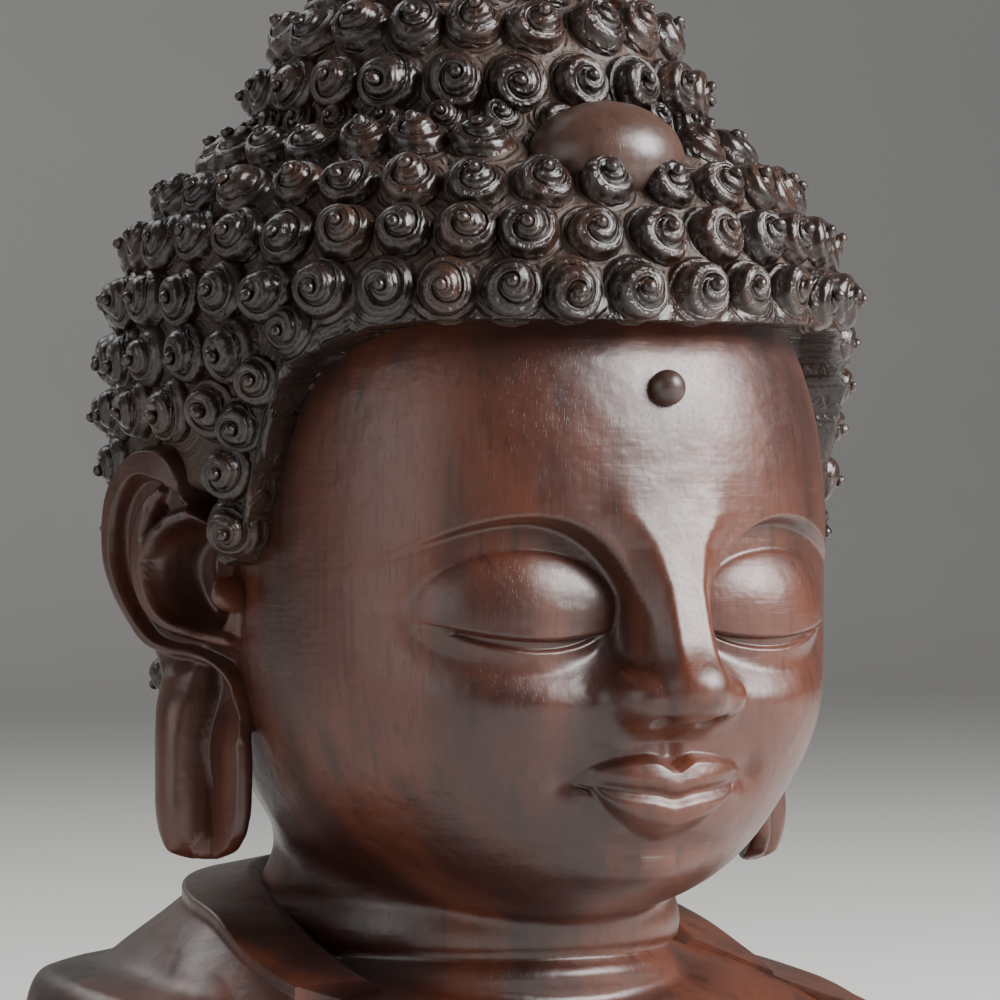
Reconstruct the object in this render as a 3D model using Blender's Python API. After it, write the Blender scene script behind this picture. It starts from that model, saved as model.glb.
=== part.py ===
"""Carved rosewood bust of a serene seated-figure type: head, long ears, ringed neck and robed shoulders.

The bust is one carved solid, cut flat below the shoulders. It is drawn in finger widths, the unit of
the classical proportion canon: the whole figure is 27 fingers tall, and the face is three equal
thirds of four fingers each, from chin to nose base, to brow, to hairline.

Axes inside the drawing functions: x to the side, t to the front, z up, all in fingers. The finished
mesh faces -Y, stands on z = 0 and is centred on the Z axis.
"""

import math

import bmesh
import bpy
import numpy as np
from mathutils import Vector
from mathutils.geometry import delaunay_2d_cdt

# Driving size, in metres
TOTAL_HEIGHT = 0.250
FINGER = TOTAL_HEIGHT / 27.0

# Levels of the canon, in fingers above the flat underside
CHIN_LEVEL = 6.2
NOSE_LEVEL = 10.2
BROW_LEVEL = 14.2
FRINGE_LEVEL = 18.14
CROWN_LEVEL = 26.16

# Head and neck, in fingers
FACE_HALF_WIDTH = 6.3
FACE_HALF_DEPTH = 7.2
FACE_CENTRE = (0.0, 1.0, 13.4)
FACE_FRONT = FACE_CENTRE[1] + FACE_HALF_DEPTH
NECK_HALF_WIDTH = 4.3
NECK_HALF_DEPTH = 4.55
NECK_BACK = -0.45

# Snail-shell curls, in fingers
CURL_HEIGHT = 0.86
CURL_WAIST = 0.47
CURL_WAIST_HEIGHT = 0.54
SMALL_CURL = 0.72
SIDE_CURLS = 35
EDGE_SPACING = 0.92
FIRST_ROW = FRINGE_LEVEL + 0.64
ROW_STEP = 1.14
BEAD_CENTRE = (0.0, FACE_FRONT - 0.28, 16.85)
BEAD_RADIUS = 0.37
SIDEBURN_ANGLE = 75.0
SIDEBURN_LEVELS = (15.20, 14.15)
JEWEL_CENTRE = (0.0, 5.38, 21.58)
JEWEL_RADII = (1.66, 1.55, 1.24)

# Hems of the robe on the right and the left of the figure, in degrees from the front
RIGHT_HEM_ANGLE = 48.0
RIGHT_HEM_SLANT = 9.0
LEFT_HEM_ANGLE = 72.0
LEFT_HEM_SLANT = -8.0

# Fineness of the faceted solid
CORE_RINGS = 150
CORE_SEGMENTS = 156
CORE_TRIANGLES = 1690
FEATURE_CARE = 0.00002
ROSEWOOD = (0.115, 0.035, 0.020, 1.0)


def smooth(low, high, value):
    """Smooth step from 0 at low to 1 at high."""
    share = np.clip((value - low) / (high - low), 0.0, 1.0)
    return share * share * (3.0 - 2.0 * share)


def blend_min(first, second, reach):
    """Join two forms with a fillet of the given reach."""
    share = np.clip(0.5 + 0.5 * (second - first) / reach, 0.0, 1.0)
    return second + (first - second) * share - reach * share * (1.0 - share)


def blend_max(first, second, reach):
    """Cut one form by another with a rounded edge."""
    return -blend_min(-first, -second, reach)


def ovoid(x, t, z, centre, radii):
    """Distance to an ellipsoid, negative inside."""
    qx, qt, qz = x - centre[0], t - centre[1], z - centre[2]
    k0 = np.sqrt((qx / radii[0]) ** 2 + (qt / radii[1]) ** 2 + (qz / radii[2]) ** 2) + 1e-9
    k1 = np.sqrt((qx / radii[0] ** 2) ** 2 + (qt / radii[1] ** 2) ** 2 + (qz / radii[2] ** 2) ** 2)
    return k0 * (k0 - 1.0) / (k1 + 1e-9)


def superegg(x, t, z, centre, radii, flat, tall):
    """Radial distance to a superellipsoid with its own exponents in plan and in height."""
    qx, qt, qz = x - centre[0], t - centre[1], z - centre[2]
    plan = (np.abs(qx / radii[0]) ** flat + np.abs(qt / radii[1]) ** flat) ** (1.0 / flat)
    size = (plan ** tall + np.abs(qz / radii[2]) ** tall) ** (1.0 / tall) + 1e-9
    return np.sqrt(qx * qx + qt * qt + qz * qz) * (1.0 - 1.0 / size)


def spline(at, knots, values):
    """Cubic curve through the knots, with the slopes of their neighbours."""
    knots = np.asarray(knots, float)
    values = np.asarray(values, float)
    slopes = np.gradient(values, knots)
    at = np.clip(at, knots[0], knots[-1])
    cell = np.clip(np.searchsorted(knots, at, side="right") - 1, 0, len(knots) - 2)
    span = knots[cell + 1] - knots[cell]
    u = (at - knots[cell]) / span
    return (
        (2 * u ** 3 - 3 * u ** 2 + 1) * values[cell]
        + (u ** 3 - 2 * u ** 2 + u) * slopes[cell] * span
        + (-2 * u ** 3 + 3 * u ** 2) * values[cell + 1]
        + (u ** 3 - u ** 2) * slopes[cell + 1] * span
    )


def brow_line(side):
    """Height of the brow arc at a distance from the middle of the face."""
    inner = BROW_LEVEL - 2.5 + 2.6 * np.sqrt(np.clip(1.0 - ((side - 2.9) / 2.25) ** 2, 0.0, 1.0))
    outer = BROW_LEVEL + 0.1 - 0.15 * (side - 2.9) ** 2
    return np.where(side < 2.9, inner, outer)


def eye_relief(side, z):
    """Socket under the brow arc, closed lid, downcast slit and lower lid."""
    drop = brow_line(side) - z
    inside = smooth(0.02, 0.30, drop) * smooth(0.66, 0.92, side)
    hollow = 0.60 * (1.0 - smooth(1.2, 5.4, side)) + 0.10 * (1.0 - smooth(4.6, 5.9, side))
    lid_level = BROW_LEVEL - 1.85
    socket = hollow * inside * smooth(lid_level - 2.05, lid_level - 0.25, z)
    tall = np.where(z > lid_level, 1.36, 1.42)
    lid = np.clip(1.0 - ((side - 2.9) / 2.02) ** 2 - ((z - lid_level) / tall) ** 2, 0.0, 1.0)
    slit_line = lid_level - 0.57 + 0.075 * (side - 2.55) ** 2
    along = smooth(1.05, 1.45, side) * (1.0 - smooth(4.3, 5.2, side))
    gape = 0.20 * np.clip(1.0 - ((side - 2.85) / 1.45) ** 2, 0.0, 1.0) ** 0.6
    under_lid = smooth(slit_line + 0.03, slit_line - 0.07, z)
    lower_rim = smooth(slit_line - gape, slit_line - gape - 0.10, z)
    fade = smooth(slit_line - 1.35, slit_line - 0.25, z)
    slit = along * fade * (0.20 * under_lid - 0.12 * lower_rim)
    return 0.50 * lid ** 0.72 - socket - slit


def nose_relief(side, z):
    """Straight ridge that flows out of the brow arcs and ends in the tip."""
    up = (z - NOSE_LEVEL) / (BROW_LEVEL - NOSE_LEVEL) * 4.0
    ridge = spline(up, [-0.5, -0.25, 0.0, 0.3, 0.6, 1.2, 2.0, 2.8, 3.6, 4.4, 5.2],
                   [0.0, 0.2, 0.78, 1.22, 1.30, 1.10, 0.76, 0.48, 0.25, 0.08, 0.0])
    crest = np.interp(up, [-0.2, 0.6, 1.6, 2.6, 3.4, 4.1], [0.50, 0.46, 0.38, 0.36, 0.50, 0.85])
    foot = np.interp(up, [-0.2, 0.6, 1.6, 2.6, 3.4, 4.1], [1.30, 1.36, 1.20, 1.00, 1.15, 1.7])
    return ridge * (1.0 - smooth(0.0, 1.0, (side - crest) / (foot - crest)))


def mouth_relief(side, z):
    """Muzzle, full lips with a faint smile, chin fold and chin."""
    drop = NOSE_LEVEL - z
    line = NOSE_LEVEL - 1.54 + 0.24 * (side / 1.8) ** 2 - 0.09 * np.exp(-((side / 0.32) ** 2))
    taper = np.clip(1.0 - (side / 1.88) ** 2, 0.0, 1.0)
    top = line + 0.76 * taper ** 0.6 - 0.14 * np.exp(-((side / 0.27) ** 2))
    low = line - 0.84 * np.clip(1.0 - (side / 1.62) ** 2, 0.0, 1.0) ** 0.6
    up = np.clip((z - line) / np.maximum(top - line, 0.06), 0.0, 1.6)
    down = np.clip((line - z) / np.maximum(line - low, 0.06), 0.0, 1.6)
    upper = smooth(1.15, 0.78, up) * (0.74 + 0.26 * smooth(1.0, 0.2, up))
    lower = smooth(1.15, 0.55, down)
    lips = 0.36 * taper ** 0.5 * np.where(z >= line, upper, lower)
    parting = 0.30 * np.exp(-(((z - line) / 0.09) ** 2)) * (1.0 - smooth(1.55, 2.05, side))
    corner = 0.17 * np.exp(-(((side - 2.1) / 0.32) ** 2) - ((drop - 1.25) / 0.36) ** 2)
    muzzle = 0.30 * np.exp(-((side / 2.3) ** 2) - ((drop - 1.4) / 1.35) ** 2)
    fold = 0.28 * np.exp(-((side / 1.5) ** 2) - ((drop - 2.68) / 0.36) ** 2)
    chin = 0.30 * np.exp(-((side / 1.3) ** 2) - ((z - CHIN_LEVEL - 0.75) / 0.72) ** 2)
    column = smooth(1.0, 0.75, drop) * (1.0 - smooth(0.45, 0.2, drop))
    philtrum = 0.11 * np.exp(-((side / 0.21) ** 2)) * column
    return lips + muzzle + chin - parting - corner - fold - philtrum


def face_form(x, t, z):
    """The face and skull under the hair: a tall egg with the features carved on its front."""
    narrowed = x * (1.0 + 0.035 * np.clip(-t, 0.0, 6.0))
    radii = (FACE_HALF_WIDTH, FACE_HALF_DEPTH, 7.6)
    egg = superegg(narrowed, t, z, FACE_CENTRE, radii, 2.3, 2.6)
    jaw = (0.0, FACE_FRONT - 4.5, CHIN_LEVEL + 2.15)
    egg = blend_min(egg, ovoid(x, t, z, jaw, (3.5, 3.75, 2.15)), 1.3)
    side = np.sqrt(x * x + 0.0016)
    cheek = 0.32 * np.exp(-(((side - 3.6) / 1.7) ** 2) - ((z - 10.2) / 1.7) ** 2)
    relief = eye_relief(side, z) + nose_relief(side, z) + mouth_relief(side, z) + cheek
    form = egg - relief * smooth(0.0, 3.0, t)
    tip = (0.0, FACE_FRONT + 0.75, NOSE_LEVEL + 0.55)
    wing = (0.98, FACE_FRONT + 0.10, NOSE_LEVEL + 0.40)
    form = blend_min(form, ovoid(side, t, z, tip, (0.66, 0.74, 0.60)), 0.35)
    return blend_min(form, ovoid(side, t, z, wing, (0.52, 0.90, 0.50)), 0.22)


def neck_form(x, t, z):
    """Round neck with its folds."""
    size = np.sqrt((x / NECK_HALF_WIDTH) ** 2 + ((t - NECK_BACK) / NECK_HALF_DEPTH) ** 2) + 1e-9
    form = np.sqrt(x * x + (t - NECK_BACK) ** 2) * (1.0 - 1.0 / size)
    form = form - 0.15 * np.exp(-(((z - 4.85) / 0.42) ** 2)) + 0.22 * np.exp(-(((z - 5.30) / 0.09) ** 2))
    form = form - 0.10 * np.exp(-(((z - 5.70) / 0.30) ** 2)) + 0.12 * np.exp(-(((z - 6.15) / 0.08) ** 2))
    form = form - 0.50 * smooth(7.2, 5.8, z) * smooth(0.4, -2.6, t)
    return np.maximum(form, z - 12.0)


def chest_form(x, t, z):
    """The body under the robe and the bare breast in its opening."""
    return superegg(x, t, z + 0.08 * t, (0.0, -0.6, 0.0), (9.7, 7.15, 5.25), 2.5, 2.6)


def bust_form(x, t, z):
    """Face, neck and breast as one smooth form."""
    head = blend_min(face_form(x, t, z), neck_form(x, t, z), 0.35)
    return blend_min(head, chest_form(x, t, z), 0.30)


# Rings of the core: half-width, half-depth, middle, height, and the height its rays start from
CORE_GUIDE = np.array([
    [9.7, 7.1, -0.6, -0.60, -2.0],
    [9.7, 7.1, -0.6, 0.60, -1.5],
    [9.0, 6.7, -0.6, 2.40, -1.5],
    [7.6, 5.8, -0.5, 3.90, -1.0],
    [5.6, 5.1, -0.5, 4.75, 1.5],
    [4.8, 4.8, -0.5, 5.10, 4.0],
    [4.4, 4.5, -0.4, 6.10, 6.2],
    [4.5, 4.8, 0.0, 7.00, 9.5],
    [5.0, 6.2, 0.3, 6.60, 12.5],
    [5.6, 7.2, 0.4, 8.00, 12.8],
    [6.4, 8.0, 0.5, 11.0, 13.0],
    [6.7, 8.2, 0.5, 14.2, 13.5],
    [6.6, 7.9, 0.4, 17.0, 14.0],
    [6.0, 7.4, 0.4, 18.6, 14.5],
    [4.6, 5.8, 0.4, 19.8, 15.0],
])


def core_rings(count):
    """Resample the guide rings, closest together over the face."""
    steps = np.hypot(np.diff(CORE_GUIDE[:, 1]), np.diff(CORE_GUIDE[:, 3]))
    knots = np.concatenate([[0.0], np.cumsum(steps)])
    fine = np.linspace(0.0, knots[-1], 2000)
    columns = np.array([spline(fine, knots, CORE_GUIDE[:, i]) for i in range(5)])
    weight = np.where((columns[3] > 6.0) & (columns[3] < 15.0) & (fine > 8.0), 2.4, 1.0)
    length = np.concatenate([[0.0], np.cumsum((weight[1:] + weight[:-1]) / 2.0)])
    at = np.interp(np.linspace(0.0, length[-1], count), length, fine)
    return np.array([np.interp(at, fine, column) for column in columns])


def carve_core():
    """Cast rays from inside the body to the carved form. Returns rings of points."""
    wide, deep, middle, height, start = [c[:, None] for c in core_rings(CORE_RINGS)]
    turn = np.linspace(0.0, 2.0 * np.pi, CORE_SEGMENTS, endpoint=False)
    turn = turn - 0.5 * np.sin(turn)
    target = np.stack([wide * np.sin(turn), middle + deep * np.cos(turn), height + 0.0 * wide * turn], -1)
    origin = np.stack([0.0 * target[..., 0], middle + 0.0 * target[..., 0], start + 0.0 * target[..., 0]], -1)
    ray = target - origin
    length = np.linalg.norm(ray, axis=-1)
    ray = ray / length[..., None]
    near = 0.35 * length
    done = np.zeros(near.shape, bool)
    step = 0.16
    for _ in range(100):
        point = origin + ray * (near + step)[..., None]
        outside = bust_form(point[..., 0], point[..., 1], point[..., 2]) > 0.0
        done |= outside
        near = np.where(done, near, near + step)
    far = near + step
    for _ in range(14):
        half = (near + far) / 2.0
        point = origin + ray * half[..., None]
        inside = bust_form(point[..., 0], point[..., 1], point[..., 2]) < 0.0
        near = np.where(inside, half, near)
        far = np.where(inside, far, half)
    return origin + ray * ((near + far) / 2.0)[..., None]


# Scalp profile from the crown down: half-width, front depth, back depth and height
SCALP_BACK = -0.35
SCALP_GUIDE = np.array([
    [0.00, 0.00, 0.00, CROWN_LEVEL],
    [1.50, 1.50, 1.50, 25.90],
    [2.80, 2.85, 2.80, 25.25],
    [3.75, 3.85, 3.75, 24.35],
    [4.20, 4.35, 4.20, 23.40],
    [4.38, 4.60, 4.40, 22.60],
    [4.75, 5.10, 4.90, 22.00],
    [5.60, 6.20, 6.10, 21.40],
    [6.40, 7.15, 7.15, 20.50],
    [6.90, 7.80, 7.85, 19.50],
    [7.14, 8.17, 8.20, 18.40],
    [7.20, 8.25, 8.35, 17.20],
    [7.12, 8.20, 8.30, 15.60],
    [6.92, 8.00, 7.95, 13.80],
    [6.60, 7.60, 7.40, 12.00],
    [6.15, 7.00, 6.75, 10.40],
    [5.60, 6.40, 6.15, 9.00],
    [5.10, 5.90, 5.70, 8.00],
])
EDGE_ANGLES = [0, 30, 40, 47, 53, 58, 61.5, 64, 66, 68, 70, 71.5, 73, 76, 80, 88, 96, 102, 108, 115, 124, 140, 180]
EDGE_HEIGHTS = [FRINGE_LEVEL, FRINGE_LEVEL, FRINGE_LEVEL - 0.03, 18.02, 17.78, 17.45, 17.1, 16.5, 15.8, 15.0,
                14.2, 13.6, 13.2, 12.95, 12.85, 12.8, 12.3, 11.3, 10.2, 9.4, 9.1, 9.0, 9.0]


def hair_edge(angle):
    """Height of the hairline at an angle in degrees from the front."""
    folded = np.abs((np.asarray(angle, float) + 180.0) % 360.0 - 180.0)
    return np.interp(folded, EDGE_ANGLES, EDGE_HEIGHTS)


def scalp_point(angle, z):
    """Point on the scalp at an angle in degrees from the front and a height."""
    knots = np.arange(len(SCALP_GUIDE), dtype=float)
    fine = np.linspace(0.0, knots[-1], 1200)
    heights = spline(fine, knots, SCALP_GUIDE[:, 3])
    at = np.interp(-np.asarray(z, float), -heights, fine)
    wide = spline(at, knots, SCALP_GUIDE[:, 0])
    front = spline(at, knots, SCALP_GUIDE[:, 1])
    back = spline(at, knots, SCALP_GUIDE[:, 2])
    turn = np.radians(angle)
    sine, cosine = np.sin(turn), np.cos(turn)
    power = 2.0 / 2.12
    x = wide * np.sign(sine) * np.abs(sine) ** power
    t = SCALP_BACK + np.where(cosine > 0.0, front, back) * np.sign(cosine) * np.abs(cosine) ** power
    return np.stack([x, t, z + 0.0 * x], -1)


def scalp_normal(angle, z):
    """Outward direction of the scalp."""
    z = np.asarray(z, float)
    across = scalp_point(angle + 1.0, z) - scalp_point(angle - 1.0, z)
    along = scalp_point(angle, np.minimum(z + 0.06, CROWN_LEVEL)) - scalp_point(angle, z - 0.06)
    normal = np.cross(along, across)
    size = np.linalg.norm(normal, axis=-1, keepdims=True)
    normal = np.where(size > 1e-9, normal / np.maximum(size, 1e-9), [0.0, 0.0, 1.0])
    return normal


def scalp_map(angle, z):
    """Flat map of the scalp around the crown that keeps the shape of each small patch."""
    levels = CROWN_LEVEL - (CROWN_LEVEL - 8.0) * np.linspace(0.0, 1.0, 900) ** 2
    side = scalp_point(90.0, levels)
    front = scalp_point(0.0, levels)
    steps = np.linalg.norm(np.diff(side, axis=0), axis=1) + np.linalg.norm(np.diff(front, axis=0), axis=1)
    radius = side[:, 0] + front[:, 1] - SCALP_BACK
    growth = np.concatenate([[0.0], np.cumsum(steps / np.maximum(radius[1:], 0.6))])
    reach = np.interp(-np.asarray(z, float), -levels, np.expm1(growth))
    turn = np.radians(angle)
    return np.stack([reach * np.sin(turn), reach * np.cos(turn)], -1)


def curl_rows():
    """Angle, height and relative size of every curl, from the fringe up and then down the nape."""
    rows = []
    upper = [(FIRST_ROW, 36, 1.0), (19.90, 34, 1.0), (20.88, 30, 1.0), (21.72, 26, 1.0), (22.42, 24, SMALL_CURL),
             (23.24, 21, 1.0), (24.36, 19, 1.0), (25.16, 15, 1.0), (25.68, 11, 0.95), (26.01, 6, 0.9)]
    for i, (z, count, size) in enumerate(upper):
        for k in range(count):
            rows.append((360.0 / count * (k + (0.0 if i % 2 else 0.5)), z, size))
    rows.append((0.0, CROWN_LEVEL, 1.0))
    z = FIRST_ROW - ROW_STEP
    i = 1
    while z > 9.5:
        for k in range(SIDE_CURLS):
            angle = 360.0 / SIDE_CURLS * (k + (0.0 if i % 2 else 0.5))
            if not (z < 16.2 and abs((angle + 180.0) % 360.0 - 180.0) < 84.0):
                rows.append((angle, z, 1.0))
        z -= ROW_STEP
        i += 1
    for z in SIDEBURN_LEVELS:
        rows.extend([(SIDEBURN_ANGLE, z, 1.0), (360.0 - SIDEBURN_ANGLE, z, 1.0)])
    return rows


def has_room(angle, z):
    """True where a curl stands inside the hairline and keeps clear of it."""
    if z <= hair_edge(angle):
        return False
    nearby = np.linspace(angle - 12.0, angle + 12.0, 97)
    line = scalp_point(nearby, hair_edge(nearby))
    return np.linalg.norm(line - scalp_point(angle, z), axis=1).min() > 0.46


def is_covered(angle, z):
    """True where an ear or the jewel takes the place of a curl."""
    folded = abs((angle + 180.0) % 360.0 - 180.0)
    rear = 104.0 + 7.0 * float(smooth(12.0, 13.5, z))
    behind_ear = 84.0 < folded < rear and z < 15.9
    under_jewel = folded < 17.0 and 21.3 < z < 22.4
    return behind_ear or under_jewel


def edge_outline():
    """Evenly spaced points along the hairline."""
    fine = np.linspace(0.0, 360.0, 2881)
    line = scalp_point(fine, hair_edge(fine))
    length = np.concatenate([[0.0], np.cumsum(np.linalg.norm(np.diff(line, axis=0), axis=1))])
    count = int(round(length[-1] / EDGE_SPACING))
    at = np.interp(np.arange(count) / count * length[-1], length, fine)
    return at, hair_edge(at)


def hair_mesh():
    """Hair cap with its curls as one closed mesh. Returns points and faces."""
    curls = [c for c in curl_rows() if has_room(c[0], c[1])]
    edge_angles, edge_levels = edge_outline()
    angles = np.array([c[0] for c in curls] + list(edge_angles))
    levels = np.array([c[1] for c in curls] + list(edge_levels))
    flat = scalp_map(angles, levels)
    flat[: len(curls)] *= 1.0 + 0.0004 * np.sin(np.arange(len(curls)) * 1.7)[:, None]
    first = len(curls)
    border = list(range(first, len(angles)))
    made = delaunay_2d_cdt([Vector(p) for p in flat.tolist()], [], [border], 1, 1e-6)
    triangles = [list(f) for f in made[2]]
    where = [ids[0] for ids in made[3]]
    triangles = [[where[i] for i in f] for f in triangles]

    def lift(angle, z, height):
        return scalp_point(angle, z) + scalp_normal(angle, z) * height

    points = []
    faces = []
    base = scalp_point(angles, levels)
    normals = scalp_normal(angles, levels)
    valleys = []
    for tri in triangles:
        share = np.array([2.2 if i >= first else 1.0 for i in tri])
        share = share / share.sum()
        valleys.append(share @ base[tri] + share @ normals[tri] * 0.04)
    valley_id = list(range(len(valleys)))
    points.extend(valleys)
    around = {}
    for i, tri in enumerate(triangles):
        for corner in tri:
            around.setdefault(corner, []).append(i)
    for i, curl in enumerate(curls):
        centre = base[i]
        normal = normals[i]
        side = np.cross(normal, [0.0, 0.0, 1.0] if abs(normal[2]) < 0.9 else [1.0, 0.0, 0.0])
        side = side / np.linalg.norm(side)
        up = np.cross(normal, side)
        fan = sorted(around[i], key=lambda k: math.atan2((valleys[k] - centre) @ up, (valleys[k] - centre) @ side))
        ring = []
        if is_covered(curl[0], curl[1]):
            faces.append(tuple(valley_id[k] for k in fan))
            continue
        for k in fan:
            out = valleys[k] - centre
            reach = np.linalg.norm(out)
            out = out * min(CURL_WAIST * curl[2], 0.88 * reach) / reach
            points.append(centre + out + normal * CURL_WAIST_HEIGHT * curl[2])
            ring.append(len(points) - 1)
        points.append(centre + normal * (CURL_HEIGHT * curl[2] if levels[i] < CROWN_LEVEL else 27.0 - CROWN_LEVEL))
        tip = len(points) - 1
        for k in range(len(fan)):
            n = (k + 1) % len(fan)
            faces.append((valley_id[fan[k]], valley_id[fan[n]], ring[n], ring[k]))
            faces.append((ring[k], ring[n], tip))
    rim = []
    for i in border:
        points.append(base[i] + normals[i] * 0.10)
        rim.append(len(points) - 1)
    for k, i in enumerate(border):
        n = (k + 1) % len(border)
        shared = set(around[i]) & set(around[border[n]])
        valley = [v for v in shared][0]
        faces.append((rim[k], valley_id[valley], rim[n]))
        before = set(around[i]) & set(around[border[k - 1]])
        start = [v for v in before][0]
        fan = fan_from(start, valley, around[i], triangles, i)
        for a, b in zip(fan[:-1], fan[1:]):
            faces.append((rim[k], valley_id[a], valley_id[b]))
    core = np.array([0.0, 0.3, 14.0])
    lip = []
    for i in border:
        inward = (core - base[i]) * [1.0, 1.0, 0.0]
        inward = inward / np.linalg.norm(inward)
        points.append(base[i] + inward)
        lip.append(len(points) - 1)
    points.append(core)
    hub = len(points) - 1
    for k in range(len(border)):
        n = (k + 1) % len(border)
        faces.append((rim[k], rim[n], lip[n], lip[k]))
        faces.append((lip[k], lip[n], hub))
    return np.array(points), faces


def fan_from(start, end, owned, triangles, centre):
    """Walk the triangles around a border point from one border edge to the other."""
    fan = [start]
    left = set(owned) - {start}
    while fan[-1] != end:
        here = set(triangles[fan[-1]]) - {centre}
        nearest = [k for k in left if len(here & set(triangles[k])) >= 1]
        fan.append(nearest[0])
        left.discard(nearest[0])
    return fan


def grid_faces(rows, columns, wrap):
    """Quads of a grid, closed around when wrap is true."""
    last = columns if wrap else columns - 1
    return [
        (r * columns + c, r * columns + (c + 1) % columns, (r + 1) * columns + (c + 1) % columns, (r + 1) * columns + c)
        for r in range(rows - 1)
        for c in range(last)
    ]


# Robe stations around each side of the body: angle, then radius and height of each row from the collar down
ROBE_CENTRE = -0.6
RIGHT_ANGLES = [48.0, 66.0, 82.0, 98.0, 118.0, 150.0, 180.0]
RIGHT_ROWS = np.array([
    [[6.05, 4.70], [7.80, 4.25], [7.80, 4.00], [8.45, 3.60], [9.10, 3.30], [9.35, 1.60], [9.40, -0.6]],
    [[5.35, 5.40], [7.25, 5.15], [7.25, 4.88], [8.10, 4.20], [9.25, 3.95], [9.80, 1.80], [9.90, -0.6]],
    [[5.00, 5.95], [6.62, 5.90], [6.62, 5.60], [7.95, 4.50], [9.40, 4.30], [10.2, 2.00], [10.3, -0.6]],
    [[4.80, 6.33], [6.38, 6.18], [6.38, 5.86], [7.95, 4.62], [9.45, 4.50], [10.3, 2.20], [10.4, -0.6]],
    [[4.75, 6.65], [6.24, 6.37], [6.24, 6.02], [7.95, 4.66], [9.33, 4.58], [9.85, 2.40], [10.0, -0.6]],
    [[4.72, 6.80], [6.20, 6.50], [6.20, 6.12], [7.25, 5.00], [8.10, 4.30], [8.60, 2.40], [8.70, -0.6]],
    [[4.70, 6.85], [6.20, 6.52], [6.20, 6.14], [6.90, 5.10], [7.45, 4.20], [7.75, 2.40], [7.80, -0.6]],
])
LEFT_ANGLES = [64.0, 82.0, 98.0, 118.0, 150.0, 180.0]
LEFT_ROWS = np.array([
    [[5.00, 4.85], [6.60, 4.34], [6.62, 4.18], [7.80, 3.80], [9.00, 3.40], [9.75, 1.75], [9.85, -0.6]],
    [[4.90, 5.20], [6.42, 4.72], [6.42, 4.42], [7.90, 3.96], [9.20, 3.62], [10.1, 1.90], [10.3, -0.6]],
    [[4.80, 5.75], [6.32, 5.28], [6.32, 4.96], [7.90, 4.20], [9.30, 3.90], [10.3, 2.10], [10.4, -0.6]],
    [[4.75, 6.30], [6.24, 5.92], [6.24, 5.58], [7.95, 4.48], [9.30, 4.25], [9.85, 2.35], [10.0, -0.6]],
    [[4.72, 6.72], [6.20, 6.40], [6.20, 6.02], [7.25, 4.96], [8.10, 4.28], [8.60, 2.40], [8.70, -0.6]],
    [[4.70, 6.85], [6.20, 6.52], [6.20, 6.14], [6.90, 5.10], [7.45, 4.20], [7.75, 2.40], [7.80, -0.6]],
])
# How far each row's front end is set back from the hem's inner corner, as a share of the slant
HEM_SHARES = [0.0, 0.9, 0.9, 1.0, 1.0, 1.0, 1.0, 0.0, 0.0]
HALF_COLUMNS = 14
ROBE_INSIDE = 3.4
ROBE_FOOT = -0.6
COLLAR_WALL = 1.1


def robe_side(row, hem, angles, stations):
    """Front-to-back angles, radii and heights of one row on one side of the robe."""
    folded = np.linspace(hem, 180.0, HALF_COLUMNS)
    collar = spline(folded, angles, stations[:, 0, 1])
    if row < stations.shape[1]:
        return folded, spline(folded, angles, stations[:, row, 0]), spline(folded, angles, stations[:, row, 1])
    last = row == len(HEM_SHARES) - 1
    return folded, folded * 0.0 + ROBE_INSIDE, collar - COLLAR_WALL if last else folded * 0.0 + ROBE_FOOT


def robe_mesh():
    """Robe over both shoulders as one closed solid, from the collar band to below the foot."""
    points = []
    columns = 2 * HALF_COLUMNS - 1
    rows = len(HEM_SHARES)
    for row, share in enumerate(HEM_SHARES):
        left = robe_side(row, LEFT_HEM_ANGLE + LEFT_HEM_SLANT * share, LEFT_ANGLES, LEFT_ROWS)
        right = robe_side(row, RIGHT_HEM_ANGLE + RIGHT_HEM_SLANT * share, RIGHT_ANGLES, RIGHT_ROWS)
        turn = np.radians(np.concatenate([left[0], 360.0 - right[0][::-1][1:]]))
        radius, height = (np.concatenate([left[i], right[i][::-1][1:]]) for i in (1, 2))
        points.append(np.stack([radius * np.sin(turn), ROBE_CENTRE + radius * np.cos(turn), height], -1))
    faces = []
    for r in range(rows):
        n = (r + 1) % rows
        for c in range(columns - 1):
            faces.append((r * columns + c, n * columns + c, n * columns + c + 1, r * columns + c + 1))
    hub = (rows - 1) * columns
    for r in range(rows - 2):
        faces.append((hub, (r + 1) * columns, r * columns))
        faces.append((hub + columns - 1, (r + 1) * columns - 1, (r + 2) * columns - 1))
    return np.concatenate(points), faces


# Ear outline by height: the front and rear edges, measured back from the ear's root
EAR_LEVELS = [6.92, 7.05, 7.35, 7.8, 8.5, 9.5, 10.3, 10.9, 11.4, 11.9, 12.5, 13.2, 13.9, 14.3, 14.6, 15.0, 15.36,
              15.57, 15.72, 15.80]
EAR_FRONT = [0.30, -0.15, -0.55, -0.75, -0.82, -0.80, -0.62, -0.55, -0.58, -0.70, -0.85, -0.62, -0.15, 0.35,
             0.58, 0.42, 0.14, 0.28, 0.62, 1.05]
EAR_REAR = [0.85, 1.20, 1.48, 1.63, 1.70, 1.74, 1.84, 2.00, 2.22, 2.48, 2.80, 3.00, 3.06, 3.04, 3.00, 2.88, 2.66,
            2.38, 1.95, 1.45]
EAR_ROOT = (FACE_HALF_WIDTH + 0.20, 0.55)
EAR_LEAN = 0.40
EAR_SPLAY = math.radians(18.7)
LOBE_FLARE = 0.45


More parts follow.
